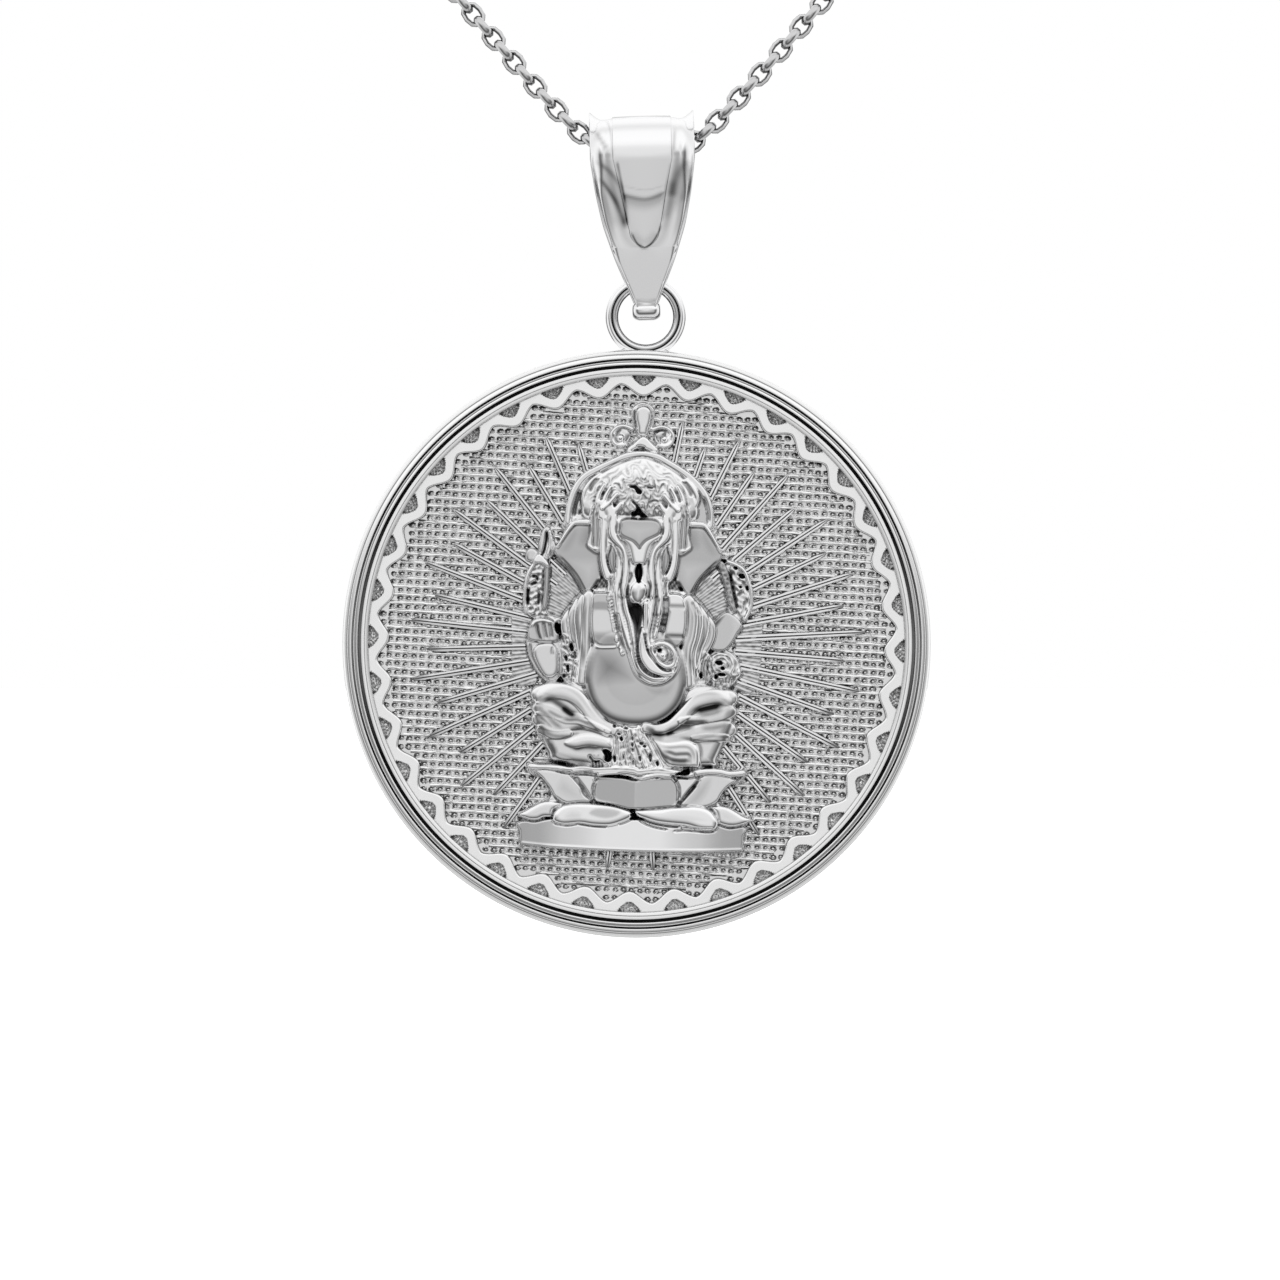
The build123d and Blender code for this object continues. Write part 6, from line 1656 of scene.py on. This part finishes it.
# The chain's route, as in the part's source: shares of half its width, of its depth and of its drop
CHAIN_STOPS = [(0.136, 0.994, 0.945), (0.302, 0.973, 0.832), (0.557, 0.899, 0.637), (0.821, 0.750, 0.395),
               (1.000, 0.534, 0.184), (0.991, 0.269, 0.058), (0.736, 0.077, 0.008), (0.321, 0.000, 0.000)]
LEFT_END = (-6.35, 0.0, 0.0)
RIGHT_END = (2.80, 0.0, 0.0)
LINK_DEPTH = 1.5        # a link is forged deeper than its wire is wide
LINK_TURN = 13.0        # turns every other link beside the bail to face forwards
LINK_STEPS = 12
WIRE_SIDES = 6
NEARBY = 0.0002         # metres to both sides of a link that give its direction


def chain_line():
    """The chain's route as a NURBS curve, read back as points with the distance along it to each, in metres.
    """
    side = [(CHAIN_TURN, -LOOP_DEPTH, -LOOP_DROP - CHAIN_DIP)]
    side += [(a * LOOP_W / 2, -f * LOOP_DEPTH, -d * LOOP_DROP) for a, f, d in CHAIN_STOPS]
    points = [LEFT_END] + [(-x, y, z) for x, y, z in reversed(side)] + side + [RIGHT_END]
    curve = bpy.data.curves.new("chain_route", "CURVE")
    curve.dimensions = "3D"
    curve.resolution_u = 48
    spline = curve.splines.new("NURBS")
    spline.points.add(len(points) - 1)
    for point, (x, y, z) in zip(spline.points, points):
        point.co = (x * MM, y * MM, z * MM, 1.0)
    spline.order_u = 3
    spline.use_endpoint_u = True
    route = bpy.data.objects.new("chain_route", curve)
    line = bpy.data.meshes.new_from_object(route)
    dots = np.array([v.co[:] for v in line.vertices])
    bpy.data.meshes.remove(line)
    bpy.data.objects.remove(route)
    bpy.data.curves.remove(curve)
    run = np.concatenate([[0.0], np.cumsum(np.linalg.norm(dots[1:] - dots[:-1], axis=1))])
    return dots, run


def link_pattern():
    """One oval cable link, lying along X in the XY plane, in metres."""
    bm = bmesh.new()
    wide, wire = mm("link_width"), mm("link_wire")
    ring_of_wire(bm, (wide - wire) / 2, wire / 2, LINK_STEPS, WIRE_SIDES)
    layer = bm.verts.layers.float.new("hollow")
    stretch = (mm("link_length") - wide) / 2
    for v in bm.verts:
        # Painted shade: a little all over the wire, more on its inner side and on its outermost edge.
        inward = ((wide - wire) / 2 - v.co.xy.length) / (wire / 2)
        v[layer] = (0.08 + 0.7 * max(0.0, -0.5 - inward) + 0.35 * max(0.0, 0.4 + inward)
                    + 0.3 * max(0.0, inward))
    for v in bm.verts:
        v.co.x += math.copysign(stretch, v.co.x) if abs(v.co.x) > 1e-6 else 0.0
        v.co.z *= LINK_DEPTH
    bmesh.ops.scale(bm, vec=(MM, MM, MM), verts=bm.verts)
    return bm


def point_on(dots, run, s):
    """The place at a distance along the chain's line."""
    return Vector([float(np.interp(s, run, dots[:, axis])) for axis in range(3)])


def make_chain():
    """Lays the links along the chain's line, each a quarter turn from the one before."""
    dots, run = chain_line()
    count = int(run[-1] / (mm("link_pitch") * MM))
    if count < 2:
        raise RuntimeError("the chain's line is too short for its links")
    pitch = run[-1] / count
    twist = Matrix.Rotation(math.radians(LINK_TURN), 4, "X")
    halves = {"left": [], "right": []}
    across = None
    for k in range(count):
        s = (k + 0.5) * pitch
        at = point_on(dots, run, s)
        along = (point_on(dots, run, s + NEARBY) - point_on(dots, run, s - NEARBY)).normalized()
        if across is None:
            across = along.cross(Vector((0, 0, 1))).normalized()
        across = (across - along * across.dot(along)).normalized()
        side = across if k % 2 else along.cross(across).normalized()
        place = Matrix((along, side, along.cross(side))).transposed().to_4x4()
        place.translation = at
        halves["left" if at.x < 0 else "right"].append(place @ twist)
    for half, places in halves.items():
        bm = bmesh.new()
        stamp(bm, link_pattern(), places)
        put("chain_links_" + half, bm, Matrix.Identity(4), "chain", "chain", "chain_" + half, 50)


def dress_clasp():
    """The clasp and the end ring keep their own shape and get the chain's finish."""
    for name in ("clasp", "end_ring"):
        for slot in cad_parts[name].material_slots:
            slot.material = finish("chain")


# ---- studio ----

CAMERA_FAR = 450.0
SENSOR_W = 36.0
VIEW_X = -0.125
VIEW_Y = -105.0         # the plane in front that the camera's distance counts from
VIEW_Z = -121.44
FLOOR_HALF = 2.5
PAPER_GLOW = 0.55

# Where the light above and the light below start, as the height of a direction, and how softly
ABOVE_FROM = 0.05
BELOW_FROM = -0.25
BAND_BLEND = 0.45

# Grey of the light by the angle from straight ahead in degrees, above, beside and below the piece
LIGHT_ABOVE = [(0, 0.86), (10, 0.86), (20, 0.90), (30, 1.04), (42, 1.10), (70, 1.08), (80, 0.98), (90, 0.90)]
LIGHT_BESIDE = [(0, 0.86), (8, 0.66), (16, 0.48), (28, 0.36), (42, 0.17), (54, 0.19), (66, 0.75), (80, 1.05),
                (90, 0.9)]
LIGHT_BELOW = [(0, 0.86), (8, 0.72), (16, 0.64), (30, 0.36), (44, 0.13), (56, 0.13), (68, 0.60), (80, 0.85),
               (90, 0.5)]


def make_floor():
    """The pale floor under the piece."""
    bm = bmesh.new()
    bmesh.ops.create_grid(bm, x_segments=1, y_segments=1, size=FLOOR_HALF)
    floor = as_object("studio_floor", bm)
    floor.data.transform(Matrix.Translation((0, 0, mm("floor_height") * MM)))
    floor.visible_glossy = False
    paper = bpy.data.materials.new("studio_paper")
    paper.use_nodes = True
    g = Graph(paper.node_tree)
    skin = g.node("ShaderNodeBsdfPrincipled", {},
                  {"Base Color": (*bpy.context.scene.necklace_colours.paper, 1), "Roughness": 0.9,
                   "Emission Color": (1, 1, 1, 1), "Emission Strength": PAPER_GLOW})
    g.node("ShaderNodeOutputMaterial", {}, {"Surface": skin})
    floor.data.materials.append(paper)


def make_light():
    """Soft studio light by direction: pale in front, bright above, darker at the sides and below."""
    world = bpy.data.worlds.new("studio_light")
    bpy.context.scene.world = world
    world.use_nodes = True
    g = Graph(world.node_tree)
    place = g.node("ShaderNodeTexCoord", out=0)
    part = g.node("ShaderNodeSeparateXYZ", {}, {0: place}, out=0)
    depth = Value(g, part.socket.node.outputs[1])
    height = Value(g, part.socket.node.outputs[2])
    facing = depth.math("ABSOLUTE")
    around = (part * part + height * height + 0.000001).math("SQRT")
    up = height / around
    bands = []
    for stops in (LIGHT_ABOVE, LIGHT_BESIDE, LIGHT_BELOW):
        ramp = [(math.cos(math.radians(angle)), grey) for angle, grey in reversed(stops)]
        bands.append(g.node("ShaderNodeValToRGB", {"stops": ramp}, {0: facing}))
    above = ((up - ABOVE_FROM) / BAND_BLEND).clamp()
    below = ((BELOW_FROM - up) / BAND_BLEND).clamp()
    low = g.node("ShaderNodeMix", {"data_type": "RGBA"}, {0: below, 6: bands[1], 7: bands[2]}, out=2)
    light = g.node("ShaderNodeMix", {"data_type": "RGBA"}, {0: above, 6: low, 7: bands[0]}, out=2)
    seen = g.node("ShaderNodeLightPath", out=0)
    # White to the camera
    mixed = g.node("ShaderNodeMix", {"data_type": "RGBA"}, {0: seen, 6: light, 7: (1, 1, 1, 1)}, out=2)
    glow = g.node("ShaderNodeBackground", {}, {0: mixed, 1: 1.0})
    g.node("ShaderNodeOutputWorld", {}, {0: glow})


def make_camera():
    """The camera at the photograph's angle: level, straight on and far away."""
    lens = bpy.data.cameras.new("studio_camera")
    lens.sensor_width = SENSOR_W
    lens.sensor_fit = "HORIZONTAL"
    lens.lens = SENSOR_W * CAMERA_FAR / mm("view_width")
    lens.clip_start = 0.01
    lens.clip_end = 20.0
    camera = bpy.data.objects.new("studio_camera", lens)
    camera.location = (VIEW_X * MM, (VIEW_Y - CAMERA_FAR) * MM, VIEW_Z * MM)
    camera.rotation_euler = (math.radians(90), 0, 0)
    bpy.context.scene.collection.objects.link(camera)
    bpy.context.scene.camera = camera


def make_stage():
    """The floor, the light and the camera."""
    bpy.context.scene.view_settings.view_transform = "Standard"
    make_floor()
    make_light()
    make_camera()


# ---- the add-on ----

def length(name, description, value, low):
    """A length shown in the panel, from its millimetres."""
    return bpy.props.FloatProperty(name=name, description=description, default=value * MM, min=low * MM,
                                   precision=5, unit="LENGTH")


def colour(name, description, value):
    """A colour shown in the panel."""
    return bpy.props.FloatVectorProperty(name=name, description=description, default=value, min=0.0, max=1.0,
                                         size=3, subtype="COLOR")


class NecklaceSizes(bpy.types.PropertyGroup):
    """Sizes that a user would change"""
    link_pitch: length("Link pitch", "From one chain link to the next", 0.876, 0.3)
    link_length: length("Link length", "Outside length of a chain link", 1.48, 0.5)
    link_width: length("Link width", "Outside width of a chain link", 1.20, 0.4)
    link_wire: length("Link wire", "Thickness of a chain link's wire", 0.30, 0.05)
    grain_pitch: length("Grain pitch", "From one dimple of the field to the next", 0.447, 0.2)
    long_ray: length("Long rays", "Reach of the long rays from the disc's middle", 12.48, 5.0)
    short_ray: length("Short rays", "Reach of the short rays from the disc's middle", 11.43, 5.0)
    ribbon_width: length("Ribbon width", "Width of the waved ribbon inside the rim", 0.73, 0.2)
    ribbon_waves: bpy.props.IntProperty(name="Ribbon waves", description="Waves around the ribbon",
                                        default=36, min=3)
    figure_step: length("Figure step", "Distance between the points that carry the figure's relief", 0.040,
                        0.02)
    floor_height: bpy.props.FloatProperty(name="Floor height", description="Height of the studio floor",
                                          default=-0.1396, precision=4, unit="LENGTH")
    view_width: length("View width", "Width that the camera sees at the piece", 69.6, 10.0)


class NecklaceColours(bpy.types.PropertyGroup):
    """Colours that a user would change"""
    white_gold: colour("White gold", "Polished metal", (0.90, 0.90, 0.905))
    frosted_gold: colour("Frosted gold", "Metal of the grained field, the ribbon and the rim",
                         (0.96, 0.96, 0.96))
    paper: colour("Paper", "Studio floor", (0.88, 0.88, 0.88))


class MakeRim(bpy.types.Operator):
    """Turn the medallion's rim and lay the waved ribbon inside it"""
    bl_idname = "necklace.rim"
    bl_label = "Rim and ribbon"

    def execute(self, context):
        make_plate()
        make_ribbon()
        return {"FINISHED"}


class MakeField(bpy.types.Operator):
    """Cover the field with its rays and its grain"""
    bl_idname = "necklace.field"
    bl_label = "Rays and grain"

    def execute(self, context):
        make_rays()
        make_field()
        return {"FINISHED"}


class MakeFigure(bpy.types.Operator):
    """Raise the seated figure"""
    bl_idname = "necklace.figure"
    bl_label = "Figure"

    def execute(self, context):
        make_figure()
        return {"FINISHED"}


class MakeRing(bpy.types.Operator):
    """Make the small ring that the bail holds"""
    bl_idname = "necklace.ring"
    bl_label = "Ring"

    def execute(self, context):
        make_ring()
        return {"FINISHED"}


class MakeBail(bpy.types.Operator):
    """Make the bail"""
    bl_idname = "necklace.bail"
    bl_label = "Bail"

    def execute(self, context):
        make_bail()
        return {"FINISHED"}


class MakeChain(bpy.types.Operator):
    """Lay the chain's links and finish the clasp and the end ring"""
    bl_idname = "necklace.chain"
    bl_label = "Chain and clasp"

    def execute(self, context):
        make_chain()
        dress_clasp()
        return {"FINISHED"}


class MakeStudio(bpy.types.Operator):
    """Set the floor, the light and the camera"""
    bl_idname = "necklace.studio"
    bl_label = "Studio"

    def execute(self, context):
        make_stage()
        return {"FINISHED"}


PIECES = (MakeRim, MakeField, MakeFigure, MakeRing, MakeBail, MakeChain, MakeStudio)


class NecklacePanel(bpy.types.Panel):
    """Sizes, colours and pieces of the necklace"""
    bl_idname = "VIEW3D_PT_necklace"
    bl_label = "Necklace"
    bl_space_type = "VIEW_3D"
    bl_region_type = "UI"
    bl_category = "Necklace"

    def draw(self, context):
        for group in (context.scene.necklace_sizes, context.scene.necklace_colours):
            box = self.layout.box()
            for name in group.__annotations__:
                box.prop(group, name)
        for piece in PIECES:
            self.layout.operator(piece.bl_idname)


CLASSES = (NecklaceSizes, NecklaceColours) + PIECES + (NecklacePanel,)


def register():
    """Adds the panel, the operators and the settings to Blender."""
    for each in CLASSES:
        bpy.utils.register_class(each)
    bpy.types.Scene.necklace_sizes = bpy.props.PointerProperty(type=NecklaceSizes)
    bpy.types.Scene.necklace_colours = bpy.props.PointerProperty(type=NecklaceColours)


def unregister():
    """Takes them away again."""
    del bpy.types.Scene.necklace_colours
    del bpy.types.Scene.necklace_sizes
    for each in reversed(CLASSES):
        bpy.utils.unregister_class(each)


def main():
    """Makes every piece and the stage through the operators."""
    register()
    bpy.ops.necklace.rim()
    bpy.ops.necklace.field()
    bpy.ops.necklace.figure()
    bpy.ops.necklace.ring()
    bpy.ops.necklace.bail()
    bpy.ops.necklace.chain()
    bpy.ops.necklace.studio()


if __name__ == "__main__":
    main()
